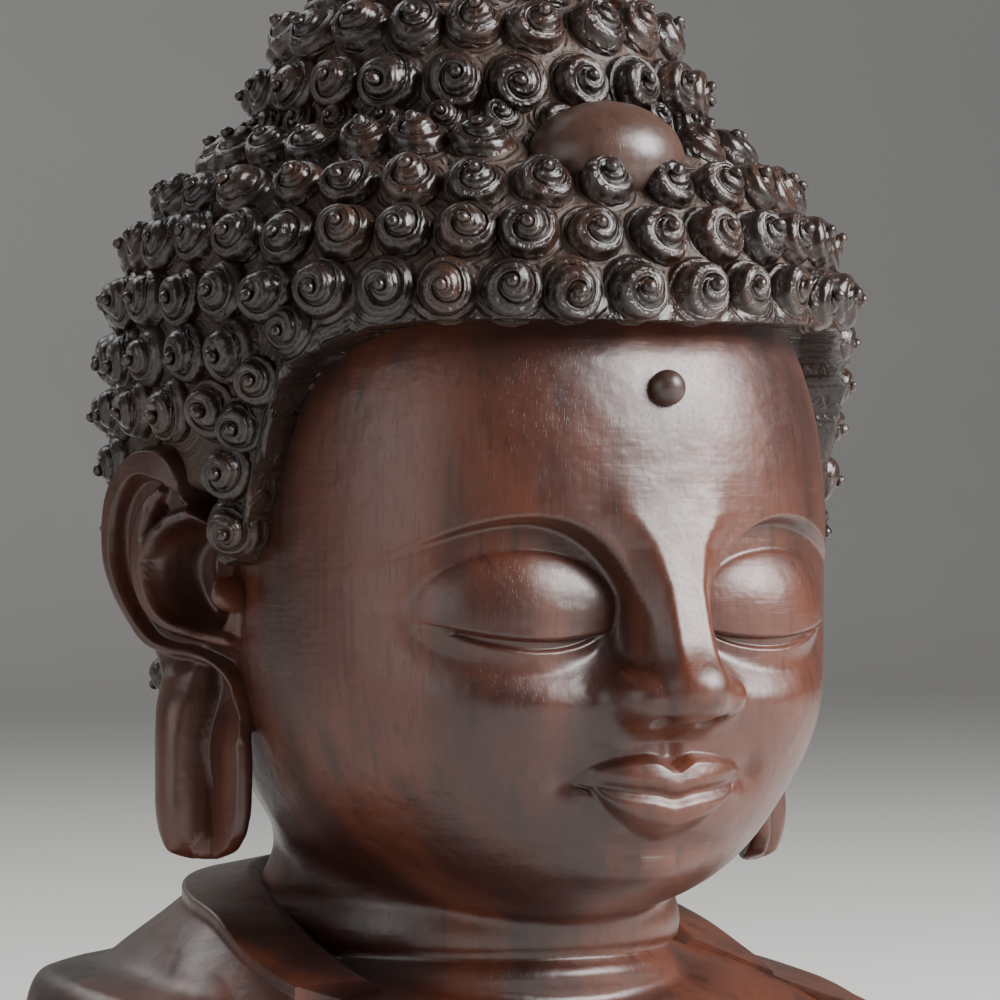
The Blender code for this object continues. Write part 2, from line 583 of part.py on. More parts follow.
def ear_relief(q, z):
    """Height of the ear's outer face: rim, groove, inner ridge, bowl, knob and hanging lobe."""
    rear = np.interp(z, EAR_LEVELS, EAR_REAR)
    upper = smooth(10.9, 11.6, z)
    inset = np.minimum(rear - q, (EAR_LEVELS[-1] - z) * 0.9 + 0.15 * np.abs(q - 1.5))
    rim = 0.30 * np.exp(-(((inset - 0.26) / 0.22) ** 2))
    groove = 0.22 * np.exp(-(((inset - 0.78) / 0.24) ** 2))
    ridge = 0.24 * np.exp(-(((inset - 1.25) / 0.24) ** 2)) * smooth(0.2, 0.6, q)
    bowl = 0.85 * smooth(1.0, 0.62, np.sqrt(((q - 0.52) / 1.02) ** 2 + ((z - 12.90) / 1.25) ** 2))
    knob = 0.34 * np.exp(-(((q + 0.62) / 0.30) ** 2) - ((z - 12.6) / 0.36) ** 2)
    strip = 0.40 * np.sqrt(np.clip(1.0 - ((q - 1.05) / 0.66) ** 2, 0.0, 1.0))
    lobe = strip - 0.20 * smooth(0.60, 0.35, q)
    return upper * (rim - groove + ridge - bowl + knob) + (1.0 - upper) * lobe


def ear_mesh(sign):
    """One ear as a closed slab whose front root sinks into the head."""
    across, along = 7, 14
    shares = np.linspace(0.0, 1.0, across)
    turns = np.linspace(0.0, 1.0, along)
    low, high = EAR_LEVELS[0], EAR_LEVELS[-1]
    levels = low + (high - low) * (0.35 * turns + 0.65 * (1.0 - np.cos(np.pi * turns)) / 2.0)
    z = np.repeat(levels[:, None], across, 1)
    front = np.interp(z, EAR_LEVELS, EAR_FRONT)
    rear = np.interp(z, EAR_LEVELS, EAR_REAR)
    q = front + (rear - front) * shares
    edge = np.minimum(shares, 1.0 - shares)
    face = ear_relief(q, z) - 0.22 * smooth(0.12, 0.0, edge)
    sunk = 0.55 + 1.5 * smooth(1.9, 0.2, q) * smooth(9.4, 10.8, z)
    back = np.minimum(-sunk + 0.18 * smooth(0.12, 0.0, edge), face - 0.42)
    layers = []
    for out in (face, back):
        root = EAR_ROOT[0] + EAR_LEAN * smooth(10.5, 13.5, z)
        root = root + LOBE_FLARE * smooth(2.0, -0.75, q) * smooth(10.8, 9.4, z)
        x = root + q * math.sin(EAR_SPLAY) + out * math.cos(EAR_SPLAY)
        t = EAR_ROOT[1] - q * math.cos(EAR_SPLAY) + out * math.sin(EAR_SPLAY)
        layers.append(np.stack([sign * x, t, z], -1).reshape(-1, 3))
    count = across * along
    faces = grid_faces(along, across, False)
    faces = faces + [tuple(i + count for i in f)[::-1] for f in faces]
    for r in range(along - 1):
        for c in (0, across - 1):
            a, b = r * across + c, (r + 1) * across + c
            quad = (a, b, b + count, a + count)
            faces.append(quad if c == 0 else quad[::-1])
    for r in (0, along - 1):
        for c in range(across - 1):
            a, b = r * across + c, r * across + c + 1
            quad = (a, b, b + count, a + count)
            faces.append(quad[::-1] if r == 0 else quad)
    return np.concatenate(layers), faces


def dome_mesh(centre, radii, rings, columns):
    """Smooth ball or dome that sinks into the head."""
    centre, radii = np.array(centre), np.array(radii)
    points = [centre + radii * [0.0, 0.0, -1.0]]
    for r in range(1, rings):
        tilt = -np.pi / 2.0 + np.pi * r / rings
        for c in range(columns):
            turn = 2.0 * np.pi * (c + 0.5) / columns
            way = np.array([math.cos(tilt) * math.sin(turn), math.cos(tilt) * math.cos(turn), math.sin(tilt)])
            points.append(centre + radii * way)
    points.append(centre + radii * [0.0, 0.0, 1.0])
    faces = []
    top = 1 + (rings - 2) * columns
    for c in range(columns):
        n = (c + 1) % columns
        faces.append((0, 1 + n, 1 + c))
        faces.append((top + c, top + n, len(points) - 1))
        for r in range(rings - 2):
            a = 1 + r * columns
            faces.append((a + c, a + n, a + columns + n, a + columns + c))
    return np.array(points), faces


def core_mesh():
    """Closed mesh of the carved core."""
    points = carve_core()
    rows, columns = points.shape[:2]
    flat = points.reshape(-1, 3)
    faces = grid_faces(rows, columns, True)
    faces.append(tuple(range(columns))[::-1])
    faces.append(tuple((rows - 1) * columns + c for c in range(columns)))
    return flat, faces


def solid(name, points, faces, shift):
    """Make an object from finger-width points, with every face pointing out."""
    placed = np.stack([points[:, 0], shift - points[:, 1], points[:, 2]], -1) * FINGER
    mesh = bpy.data.meshes.new(name)
    mesh.from_pydata(placed.tolist(), [], [tuple(f) for f in faces])
    shaped = bmesh.new()
    shaped.from_mesh(mesh)
    bmesh.ops.recalc_face_normals(shaped, faces=shaped.faces)
    if shaped.calc_volume(signed=True) < 0.0:
        bmesh.ops.reverse_faces(shaped, faces=shaped.faces)
    shaped.to_mesh(mesh)
    shaped.free()
    made = bpy.data.objects.new(name, mesh)
    bpy.context.scene.collection.objects.link(made)
    return made


def helper(made):
    """Mark an object as an operand that only shapes the bust."""
    made.hide_render = True
    made.display_type = "WIRE"
    return made


def foot_cutter():
    """Block below the foot that cuts the bust flat."""
    mesh = bpy.data.meshes.new("foot_cutter")
    shaped = bmesh.new()
    bmesh.ops.create_cube(shaped, size=1.0)
    bmesh.ops.scale(shaped, vec=(40.0 * FINGER, 40.0 * FINGER, 4.0 * FINGER), verts=shaped.verts)
    bmesh.ops.translate(shaped, vec=(0.0, 0.0, -2.0 * FINGER), verts=shaped.verts)
    shaped.to_mesh(mesh)
    shaped.free()
    made = bpy.data.objects.new("foot_cutter", mesh)
    bpy.context.scene.collection.objects.link(made)
    return helper(made)


def rosewood():
    """Dark polished rosewood."""
    material = bpy.data.materials.new("rosewood")
    material.use_nodes = True
    shader = material.node_tree.nodes["Principled BSDF"]
    shader.inputs["Base Color"].default_value = ROSEWOOD
    shader.inputs["Roughness"].default_value = 0.36
    shader.inputs["Metallic"].default_value = 0.0
    return material


def boolean(target, operand, operation):
    """Add an exact Boolean to the target."""
    step = target.modifiers.new(operation.lower() + "_" + operand.name, "BOOLEAN")
    step.operation = operation
    step.solver = "EXACT"
    step.object = operand


def main():
    for old in list(bpy.data.objects):
        bpy.data.objects.remove(old)
    forms = {
        "carved_bust": core_mesh(),
        "hair_form": hair_mesh(),
        "robe_form": robe_mesh(),
        "jewel_form": dome_mesh(JEWEL_CENTRE, JEWEL_RADII, 7, 14),
        "brow_bead_form": dome_mesh(BEAD_CENTRE, (BEAD_RADIUS,) * 3, 5, 8),
        "ear_left_form": ear_mesh(1.0),
        "ear_right_form": ear_mesh(-1.0),
    }
    depths = np.concatenate([points[:, 1] for points, _ in forms.values()])
    shift = (depths.max() + depths.min()) / 2.0
    made = {name: solid(name, points, faces, shift) for name, (points, faces) in forms.items()}
    bust = made["carved_bust"]
    group = bust.vertex_groups.new(name="features")
    for i, (x, t, z) in enumerate(forms["carved_bust"][0].tolist()):
        near_eyes = math.exp(-(((abs(x) - 2.8) / 2.2) ** 2) - ((z - BROW_LEVEL + 1.8) / 1.9) ** 2)
        near_mouth = math.exp(-((x / 2.2) ** 2) - ((z - NOSE_LEVEL + 0.8) / 1.9) ** 2)
        near_neck = 0.5 * math.exp(-(((z - 4.8) / 0.7) ** 2)) if abs(x) < 5.0 and t < 6.0 else 0.0
        care = max(near_eyes, near_mouth) if t > 4.0 else near_neck if t > 1.0 else 0.0
        group.add([i], 1.0 - 0.30 * care, "REPLACE")
    thin = bust.modifiers.new("facets", "DECIMATE")
    thin.decimate_type = "COLLAPSE"
    thin.ratio = CORE_TRIANGLES / (2.0 * CORE_RINGS * CORE_SEGMENTS)
    thin.vertex_group = "features"
    thin.vertex_group_factor = FEATURE_CARE
    thin.use_symmetry = True
    thin.symmetry_axis = "X"
    joined = bpy.data.collections.new("joined_forms")
    bpy.context.scene.collection.children.link(joined)
    for name in list(forms)[1:]:
        joined.objects.link(helper(made[name]))
    step = bust.modifiers.new("union_forms", "BOOLEAN")
    step.operation = "UNION"
    step.solver = "EXACT"
    step.operand_type = "COLLECTION"
    step.collection = joined
    boolean(bust, foot_cutter(), "DIFFERENCE")
    bust.data.materials.append(rosewood())
    bust.data.shade_smooth()
    bust.data.set_sharp_from_angle(angle=math.radians(32.0))


main()
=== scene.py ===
"""Carved rosewood bust, dressed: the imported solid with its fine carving, its wood and a plain studio.

Everything is drawn in finger widths, the unit of the sculptor's canon: the bust is 27 fingers tall.
In the drawing x runs to the side, t to the front and z up. The finished meshes face -Y, in metres.
"""

import logging
import math
from collections.abc import Callable
from dataclasses import dataclass
from enum import Enum

import bmesh
import bpy
import numpy as np
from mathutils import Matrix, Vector


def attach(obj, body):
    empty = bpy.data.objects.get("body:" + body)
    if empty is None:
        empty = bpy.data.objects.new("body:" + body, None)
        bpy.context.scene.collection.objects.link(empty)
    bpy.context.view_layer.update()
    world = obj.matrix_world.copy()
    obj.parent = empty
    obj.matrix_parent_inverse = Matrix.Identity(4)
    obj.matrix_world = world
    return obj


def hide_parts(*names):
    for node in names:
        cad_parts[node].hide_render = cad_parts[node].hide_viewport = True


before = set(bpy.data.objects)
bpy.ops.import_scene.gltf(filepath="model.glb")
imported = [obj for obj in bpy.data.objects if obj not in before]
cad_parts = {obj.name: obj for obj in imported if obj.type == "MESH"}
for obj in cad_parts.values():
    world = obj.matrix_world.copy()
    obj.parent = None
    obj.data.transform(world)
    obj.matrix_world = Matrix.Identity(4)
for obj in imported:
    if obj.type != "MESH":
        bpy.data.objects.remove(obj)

Array = np.ndarray
Sheet = bmesh.types.BMesh
Numbers = tuple[float, ...]
Place = tuple[float, float, float]
Colour = tuple[float, float, float, float]
Shape = Callable[[Array, Array], Array]
LOG = logging.getLogger("bust")
NODE = "carved_bust"
BODY = "root"
BUST_HEIGHT = 0.250
FINGER = BUST_HEIGHT / 27.0
DRAWING_SHIFT = 0.0606
CROWN_LEVEL = 26.16
FRINGE_LEVEL = 18.14
SEAM = 2e-6


def smooth(low: Array | float, high: Array | float, value: Array | float) -> Array:
    """Ease from 0 at low to 1 at high.

    Args:
        low: Where the step starts.
        high: Where the step ends.
        value: Where it is read.

    Returns:
        The eased share, between 0 and 1.
    """
    share = np.clip((value - low) / (high - low), 0.0, 1.0)
    return share * share * (3.0 - 2.0 * share)


def bump(value: Array, centre: Array | float, width: Array | float) -> Array:
    """Bell of height 1 around a centre.

    Args:
        value: Where it is read.
        centre: Place of the top.
        width: Distance at which it falls to a third.

    Returns:
        The height of the bell.
    """
    return np.exp(-(((value - centre) / width) ** 2))


def blend_min(first: Array, second: Array, reach: float) -> Array:
    """Join two forms with a fillet.

    Args:
        first: Distance to one form.
        second: Distance to the other form.
        reach: Size of the fillet.

    Returns:
        Distance to the joined form.
    """
    share = np.clip(0.5 + 0.5 * (second - first) / reach, 0.0, 1.0)
    return second + (first - second) * share - reach * share * (1.0 - share)


def ovoid(point: Array, centre: Place, radii: Place) -> Array:
    """Distance to an egg shape, negative inside.

    Args:
        point: Points of the drawing, last axis x, t, z.
        centre: Middle of the egg.
        radii: Its three radii.

    Returns:
        One distance a point.
    """
    away = point - np.array(centre)
    size = np.linalg.norm(away / np.array(radii), axis=-1) + 1e-9
    slope = np.linalg.norm(away / np.array(radii) ** 2, axis=-1) + 1e-9
    return size * (size - 1.0) / slope


def superegg(point: Array, centre: Place, radii: Place, flat: float, tall: float) -> Array:
    """Distance along the ray to an egg whose plan and height have their own squareness.

    Args:
        point: Points of the drawing, last axis x, t, z.
        centre: Middle of the egg.
        radii: Its three radii.
        flat: Exponent of the plan.
        tall: Exponent of the height.

    Returns:
        One distance a point.
    """
    away = point - np.array(centre)
    share = np.abs(away / np.array(radii))
    plan = (share[..., 0] ** flat + share[..., 1] ** flat) ** (1.0 / flat)
    size = (plan ** tall + share[..., 2] ** tall) ** (1.0 / tall) + 1e-9
    return np.linalg.norm(away, axis=-1) * (1.0 - 1.0 / size)


def spline(at: Array | float, knots: Array | list[float], values: Array | list[float]) -> Array:
    """Smooth curve through a few knots.

    Args:
        at: Where it is read.
        knots: Rising places of the knots.
        values: The value at each knot.

    Returns:
        The curve's value at each place.
    """
    knots = np.asarray(knots, float)
    values = np.asarray(values, float)
    slopes = np.gradient(values, knots)
    at = np.clip(at, knots[0], knots[-1])
    cell = np.clip(np.searchsorted(knots, at, side="right") - 1, 0, len(knots) - 2)
    span = knots[cell + 1] - knots[cell]
    u = (at - knots[cell]) / span
    rise = (2 * u ** 3 - 3 * u ** 2 + 1) * values[cell] + (3 * u ** 2 - 2 * u ** 3) * values[cell + 1]
    return rise + span * ((u ** 3 - 2 * u ** 2 + u) * slopes[cell] + (u ** 3 - u ** 2) * slopes[cell + 1])


def placed(points: Array) -> Array:
    """Take points of the drawing to metres in the part's frame."""
    return np.stack([points[..., 0], DRAWING_SHIFT - points[..., 1], points[..., 2]], -1) * FINGER


def folded(angle: Array | float) -> Array:
    """Degrees away from the front on either side, from 0 to 180."""
    return np.abs((np.asarray(angle, float) + 180.0) % 360.0 - 180.0)


def fineness(count: int) -> int:
    return count


def blank_sheet(columns: int, rows: int) -> Sheet:
    """Flat unit sheet to carve, with x and y from 0 to 1.

    Args:
        columns: Steps along x.
        rows: Steps along y.

    Returns:
        The sheet as a bmesh.
    """
    sheet = bmesh.new()
    bmesh.ops.create_grid(sheet, x_segments=columns, y_segments=rows, size=0.5)
    bmesh.ops.translate(sheet, vec=(0.5, 0.5, 0.0), verts=sheet.verts)
    return sheet


def move_to(sheet: Sheet, points: Array) -> None:
    """Put each vertex of a form at its own point."""
    for vertex, point in zip(sheet.verts, points.tolist()):
        vertex.co = point


def carve(sheet: Sheet, shape: Shape) -> None:
    """Move each point of a unit sheet to its place on a form.

    Args:
        sheet: The sheet, with x and y from 0 to 1.
        shape: Gives points of the drawing for x and y.
    """
    flat = np.array([v.co[:2] for v in sheet.verts])
    move_to(sheet, placed(shape(flat[:, 0], flat[:, 1])))


def fill_openings(sheet: Sheet) -> None:
    """Close every open rim of a form.

    Args:
        sheet: The form.
    """
    rims = [e for e in sheet.edges if e.is_boundary]
    if rims:
        bmesh.ops.holes_fill(sheet, edges=rims, sides=0)


def close_up(sheet: Sheet) -> None:
    """Merge the seams of a rolled sheet, close its open ends and turn its faces out.

    Args:
        sheet: The rolled sheet, in metres.
    """
    bmesh.ops.remove_doubles(sheet, verts=sheet.verts, dist=SEAM)
    fill_openings(sheet)
    bmesh.ops.recalc_face_normals(sheet, faces=sheet.faces)
    if sheet.calc_volume(signed=True) < 0.0:
        bmesh.ops.reverse_faces(sheet, faces=sheet.faces)


def cut_flat(sheet: Sheet, level: float) -> None:
    """Cut a closed form flat and keep what is above.

    Args:
        sheet: The closed form.
        level: Height of the cut, in metres.
    """
    whole = [*sheet.verts, *sheet.edges, *sheet.faces]
    bmesh.ops.bisect_plane(
        sheet, geom=whole, dist=1e-7, plane_co=(0, 0, level), plane_no=(0, 0, 1), clear_inner=True,
    )
    fill_openings(sheet)


def carved_sheet(columns: int, rows: int, shape: Shape) -> Sheet:
    """Roll a sheet on a form and close it.

    Args:
        columns: Steps along the first share.
        rows: Steps along the second share.
        shape: Gives points of the drawing for the two shares.

    Returns:
        The closed form, in metres.
    """
    sheet = blank_sheet(fineness(columns), fineness(rows))
    carve(sheet, shape)
    close_up(sheet)
    return sheet


def note(sheet: Sheet, name: str, values: Array) -> None:
    """Write a value on every point, for the finish to read.

    Args:
        sheet: The form.
        name: Name of the value.
        values: One value a point.
    """
    layer = sheet.verts.layers.float.new(name)
    for vertex, value in zip(sheet.verts, values.tolist()):
        vertex[layer] = value


def finished_mesh(name: str, sheet: Sheet, material: bpy.types.Material) -> bpy.types.Mesh:
    """Make a smooth mesh of a form.

    Args:
        name: Name of the mesh.
        sheet: The form, which is freed.
        material: Its finish.

    Returns:
        The mesh.
    """
    mesh = bpy.data.meshes.new(name)
    sheet.to_mesh(mesh)
    sheet.free()
    mesh.materials.append(material)
    mesh.shade_smooth()
    return mesh


def set_out(name: str, data: bpy.types.ID) -> bpy.types.Object:
    """Stand a mesh, a lamp or a camera in the scene.

    Args:
        name: Name of the object.
        data: What it shows.

    Returns:
        The new object.
    """
    thing = bpy.data.objects.new(name, data)
    bpy.context.scene.collection.objects.link(thing)
    return thing


def present(
    name: str, sheet: Sheet, material: bpy.types.Material, crease: float = 180.0
) -> bpy.types.Object:
    """Turn a finished form into a piece that stands for the solid bust.

    Args:
        name: Name of the piece.
        sheet: Its closed form, in metres.
        material: Its finish.
        crease: Angle in degrees past which an edge is drawn sharp.

    Returns:
        The new object, which sits at the origin.
    """
    mesh = finished_mesh(name, sheet, material)
    if crease < 180.0:
        mesh.set_sharp_from_angle(angle=math.radians(crease))
    piece = set_out(name, mesh)
    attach(piece, BODY)
    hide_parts(NODE)
    mesh.calc_loop_triangles()
    LOG.info("%s: %d triangles", name, len(mesh.loop_triangles))
    return piece


@dataclass
class CarvedFlesh:
    """Face, neck and bare breast, carved from one smooth form."""

    columns: int = 296
    rows: int = 330
    chin_level: float = 6.2
    nose_level: float = 10.2
    brow_level: float = 14.2
    face_centre: Place = (0.0, 1.0, 13.4)
    face_radii: Place = (6.3, 7.2, 7.6)
    neck_half_width: float = 4.3
    neck_half_depth: float = 4.55
    neck_back: float = -0.45
    eye_middle: float = 2.9
    ray_step: float = 0.11
    ray_tries: int = 140
    halvings: int = 13

    def brow_line(self, side: Array) -> Array:
        """Height of the brow arc.

        Args:
            side: Distance from the middle of the face.

        Returns:
            The height at each distance.
        """
        away = side - self.eye_middle
        inner = self.brow_level - 2.5 + 2.6 * np.sqrt(np.clip(1.0 - (away / 2.25) ** 2, 0.0, 1.0))
        outer = self.brow_level + 0.1 - 0.15 * away ** 2
        return np.where(side < self.eye_middle, inner, outer)

    def eye_relief(self, side: Array, z: Array) -> Array:
        """Socket under the brow arc, closed lid, downcast slit and lower lid.

        Args:
            side: Distance from the middle of the face.
            z: Height.

        Returns:
            Height of the relief over the smooth egg.
        """
        drop = self.brow_line(side) - z
        inside = smooth(0.02, 0.24, drop) * smooth(0.66, 0.92, side)
        hollow = 0.60 * (1.0 - smooth(1.2, 5.4, side)) + 0.10 * (1.0 - smooth(4.6, 5.9, side))
        lid_level = self.brow_level - 1.85
        socket = hollow * inside * smooth(lid_level - 2.05, lid_level - 0.25, z)
        tall = np.where(z > lid_level, 1.22, 1.30)
        across = (side - self.eye_middle) / 1.95
        lid = np.clip(1.0 - across ** 2 - ((z - lid_level) / tall) ** 2, 0.0, 1.0)
        lid = lid ** (0.72 + 0.55 * smooth(lid_level - 0.35, lid_level - 1.05, z))
        slit_line = lid_level - 0.57 + 0.075 * (side - 2.55) ** 2
        along = smooth(1.05, 1.45, side) * (1.0 - smooth(4.3, 5.2, side))
        gape = 0.20 * np.clip(1.0 - ((side - 2.85) / 1.45) ** 2, 0.0, 1.0) ** 0.6
        under_lid = smooth(slit_line + 0.03, slit_line - 0.06, z)
        lower_rim = smooth(slit_line - gape, slit_line - gape - 0.09, z)
        fade = smooth(slit_line - 1.35, slit_line - 0.25, z)
        slit = along * fade * (0.22 * under_lid - 0.13 * lower_rim)
        return 0.43 * lid - socket - slit

    def nose_relief(self, side: Array, z: Array) -> Array:
        """Straight ridge that flows out of the brow arcs and ends in the tip.

        Args:
            side: Distance from the middle of the face.
            z: Height.

        Returns:
            Height of the relief over the smooth egg.
        """
        up = (z - self.nose_level) / (self.brow_level - self.nose_level) * 4.0
        ridge = spline(up, [-0.5, -0.25, 0.0, 0.3, 0.6, 1.2, 2.0, 2.8, 3.6, 4.4, 5.2],
                       [0.0, 0.2, 0.78, 1.22, 1.30, 1.10, 0.76, 0.48, 0.25, 0.08, 0.0])
        levels = [-0.2, 0.6, 1.6, 2.6, 3.4, 4.1]
        crest = np.interp(up, levels, [0.42, 0.38, 0.32, 0.32, 0.48, 0.85])
        foot = np.interp(up, levels, [1.20, 1.22, 1.08, 0.95, 1.15, 1.7])
        return ridge * (1.0 - smooth(0.0, 1.0, (side - crest) / (foot - crest)))

    def mouth_relief(self, side: Array, z: Array) -> Array:
        """Muzzle, full lips with a faint smile, chin fold and chin.

        Args:
            side: Distance from the middle of the face.
            z: Height.

        Returns:
            Height of the relief over the smooth egg.
        """
        drop = self.nose_level - z
        line = self.nose_level - 1.54 + 0.24 * (side / 1.8) ** 2 - 0.09 * bump(side, 0.0, 0.32)
        taper = np.clip(1.0 - (side / 1.88) ** 2, 0.0, 1.0)
        top = line + 0.76 * taper ** 0.6 - 0.14 * bump(side, 0.0, 0.27)
        low = line - 0.84 * np.clip(1.0 - (side / 1.62) ** 2, 0.0, 1.0) ** 0.6
        up = np.clip((z - line) / np.maximum(top - line, 0.06), 0.0, 1.6)
        down = np.clip((line - z) / np.maximum(line - low, 0.06), 0.0, 1.6)
        upper = smooth(1.12, 0.82, up) * (0.74 + 0.26 * smooth(1.0, 0.2, up))
        lower = smooth(1.12, 0.58, down)
        lips = 0.36 * taper ** 0.5 * np.where(z >= line, upper, lower)
        parting = 0.17 * bump(z, line, 0.16) * (1.0 - smooth(1.55, 2.05, side))
        corner = 0.17 * bump(side, 2.1, 0.32) * bump(drop, 1.25, 0.36)
        muzzle = 0.30 * bump(side, 0.0, 2.3) * bump(drop, 1.4, 1.35)
        fold = 0.28 * bump(side, 0.0, 1.5) * bump(drop, 2.68, 0.36)
        chin = 0.30 * bump(side, 0.0, 1.3) * bump(z, self.chin_level + 0.75, 0.72)
        column = smooth(1.0, 0.75, drop) * (1.0 - smooth(0.45, 0.2, drop))
        philtrum = 0.11 * bump(side, 0.0, 0.21) * column
        return lips + muzzle + chin - parting - corner - fold - philtrum

    def face_form(self, point: Array) -> Array:
        """Distance to the face: a tall egg with the features carved on its front.

        Args:
            point: Points of the drawing.

        Returns:
            One distance a point, negative inside.
        """
        x, t, z = point[..., 0], point[..., 1], point[..., 2]
        front = self.face_centre[1] + self.face_radii[1]
        narrowed = np.stack([x * (1.0 + 0.035 * np.clip(-t, 0.0, 6.0)), t, z], -1)
        egg = superegg(narrowed, self.face_centre, self.face_radii, 2.3, 2.6)
        jaw = ovoid(point, (0.0, front - 4.5, self.chin_level + 2.15), (3.5, 3.75, 2.15))
        egg = blend_min(egg, jaw, 1.3)
        side = np.sqrt(x * x + 0.0016)
        cheek = 0.32 * bump(side, 3.6, 1.7) * bump(z, self.nose_level, 1.7)
        relief = self.eye_relief(side, z) + self.nose_relief(side, z) + self.mouth_relief(side, z) + cheek
        form = egg - relief * smooth(0.0, 3.0, t)
        mirrored = np.stack([side, t, z], -1)
        tip = (0.0, front + 0.75, self.nose_level + 0.55)
        wing = (0.92, front + 0.00, self.nose_level + 0.42)
        form = blend_min(form, ovoid(mirrored, tip, (0.66, 0.70, 0.58)), 0.55)
        form = blend_min(form, ovoid(mirrored, wing, (0.54, 0.95, 0.52)), 0.60)
        nostril = ovoid(mirrored, (0.54, front + 0.52, self.nose_level - 0.14), (0.24, 0.40, 0.30))
        return -blend_min(-form, nostril, 0.12)

    def neck_form(self, point: Array) -> Array:
        """Distance to the round neck with its folds.

        Args:
            point: Points of the drawing.

        Returns:
            One distance a point, negative inside.
        """
        x, t, z = point[..., 0], point[..., 1] - self.neck_back, point[..., 2]
        size = np.hypot(x / self.neck_half_width, t / self.neck_half_depth) + 1e-9
        form = np.hypot(x, t) * (1.0 - 1.0 / size)
        form = form - 0.19 * bump(z, 4.60, 0.31) + 0.19 * bump(z, 5.02, 0.11)
        form = form - 0.09 * bump(z, 5.55, 0.40) + 0.05 * bump(z, 6.15, 0.16)
        form = form - 0.50 * smooth(7.2, 5.8, z) * smooth(0.4, -2.6, point[..., 1])
        return np.maximum(form, z - 12.0)

    def bust_form(self, point: Array) -> Array:
        """Distance to face, neck and breast as one smooth form.

        Args:
            point: Points of the drawing.

        Returns:
            One distance a point, negative inside.
        """
        tilted = point + point[..., 1:2] * np.array([0.0, 0.0, 0.08])
        chest = superegg(tilted, (0.0, -0.6, 0.0), (9.7, 7.15, 5.25), 2.5, 2.6)
        head = blend_min(self.face_form(point), self.neck_form(point), 0.35)
        return blend_min(head, chest, 0.30)

    def guide(self) -> Array:
        """Rings that the carving rays aim at.

        Returns:
            Half-width, half-depth, middle, height and the height the rays start from, one row a ring.
        """
        return np.array([
            [9.7, 7.1, -0.6, -0.60, -2.0], [9.7, 7.1, -0.6, 0.60, -1.5], [9.0, 6.7, -0.6, 2.40, -1.5],
            [7.6, 5.8, -0.5, 3.90, -1.0], [5.6, 5.1, -0.5, 4.75, 1.5], [4.8, 4.8, -0.5, 5.10, 4.0],
            [4.4, 4.5, -0.4, 6.10, 6.2], [4.5, 4.8, 0.0, 7.00, 9.5], [5.0, 6.2, 0.3, 6.60, 12.5],
            [5.6, 7.2, 0.4, 8.00, 12.8], [6.4, 8.0, 0.5, 11.0, 13.0], [6.7, 8.2, 0.5, 14.2, 13.5],
            [6.6, 7.9, 0.4, 17.0, 14.0], [6.0, 7.4, 0.4, 18.6, 14.5], [4.6, 5.8, 0.4, 19.8, 15.0],
        ])

    def rings(self, share: Array) -> Array:
        """Guide rings at shares of the way up, closest together over the mouth and the lids.

        Args:
            share: From 0 at the foot to 1 at the top.

        Returns:
            The five columns of the guide, one row a share.
        """
        guide = self.guide()
        steps = np.hypot(np.diff(guide[:, 1]), np.diff(guide[:, 3]))
        knots = np.concatenate([[0.0], np.cumsum(steps)])
        fine = np.linspace(0.0, knots[-1], 2000)
        columns = np.stack([spline(fine, knots, guide[:, i]) for i in range(5)], -1)
        level = columns[:, 3]
        over_neck = fine > 8.0
        weight = np.ones(len(fine))
        for low, high, density in ((7.4, 15.0, 2.4), (7.9, 9.6, 4.6), (11.3, 12.4, 3.6)):
            weight = np.where((level > low) & (level < high) & over_neck, density, weight)
        weight = np.where((level < 3.2) | (level > 18.6), 0.4, weight)
        length = np.concatenate([[0.0], np.cumsum((weight[1:] + weight[:-1]) / 2.0)])
        at = np.interp(share * length[-1], length, fine)
        return np.stack([np.interp(at, fine, columns[:, i]) for i in range(5)], -1)

    def surface(self, turn: Array, share: Array) -> Array:
        """Cast rays from inside the wood to the carved form.

        Args:
            turn: Share of the way around, 0 at the front.
            share: Share of the way up.

        Returns:
            Points of the drawing.
        """
        angle = 2.0 * np.pi * turn
        angle = angle - 0.62 * np.sin(angle)
        wide, deep, middle, height, start = np.moveaxis(self.rings(share), -1, 0)
        target = np.stack([wide * np.sin(angle), middle + deep * np.cos(angle), height], -1)
        origin = np.stack([0.0 * wide, middle, start], -1)
        ray = target - origin
        length = np.linalg.norm(ray, axis=-1, keepdims=True)
        ray = ray / length
        near = 0.35 * length
        done = np.zeros(near.shape, bool)
        for _ in range(self.ray_tries):
            done |= self.bust_form(origin + ray * (near + self.ray_step))[..., None] > 0.0
            near = np.where(done, near, near + self.ray_step)
            if done.all():
                break
        far = near + self.ray_step
        for _ in range(self.halvings):
            half = (near + far) / 2.0
            inside = self.bust_form(origin + ray * half)[..., None] < 0.0
            near = np.where(inside, half, near)
            far = np.where(inside, far, half)
        return origin + ray * ((near + far) / 2.0)

    def build(self, material: bpy.types.Material) -> bpy.types.Object:
        """Carve the face, neck and breast.

        Args:
            material: Its finish.

        Returns:
            The piece.
        """
        sheet = carved_sheet(self.columns, self.rows, self.surface)
        cut_flat(sheet, 0.0)
        return present("carved_flesh", sheet, material)


HAIRLINE = (
    (0.0, 18.14), (30.0, 18.14), (40.0, 18.11), (47.0, 18.02), (53.0, 17.78), (58.0, 17.45), (61.5, 17.1),
    (64.0, 16.5), (66.0, 15.8), (67.6, 15.15), (69.0, 14.6), (70.5, 14.1), (72.0, 13.72), (74.0, 13.40),
    (76.0, 13.26), (78.0, 13.25), (80.0, 13.3), (88.0, 13.3), (96.0, 12.4), (102.0, 11.3), (108.0, 10.2),
    (115.0, 9.4), (124.0, 9.1), (140.0, 9.0), (180.0, 9.0),
)


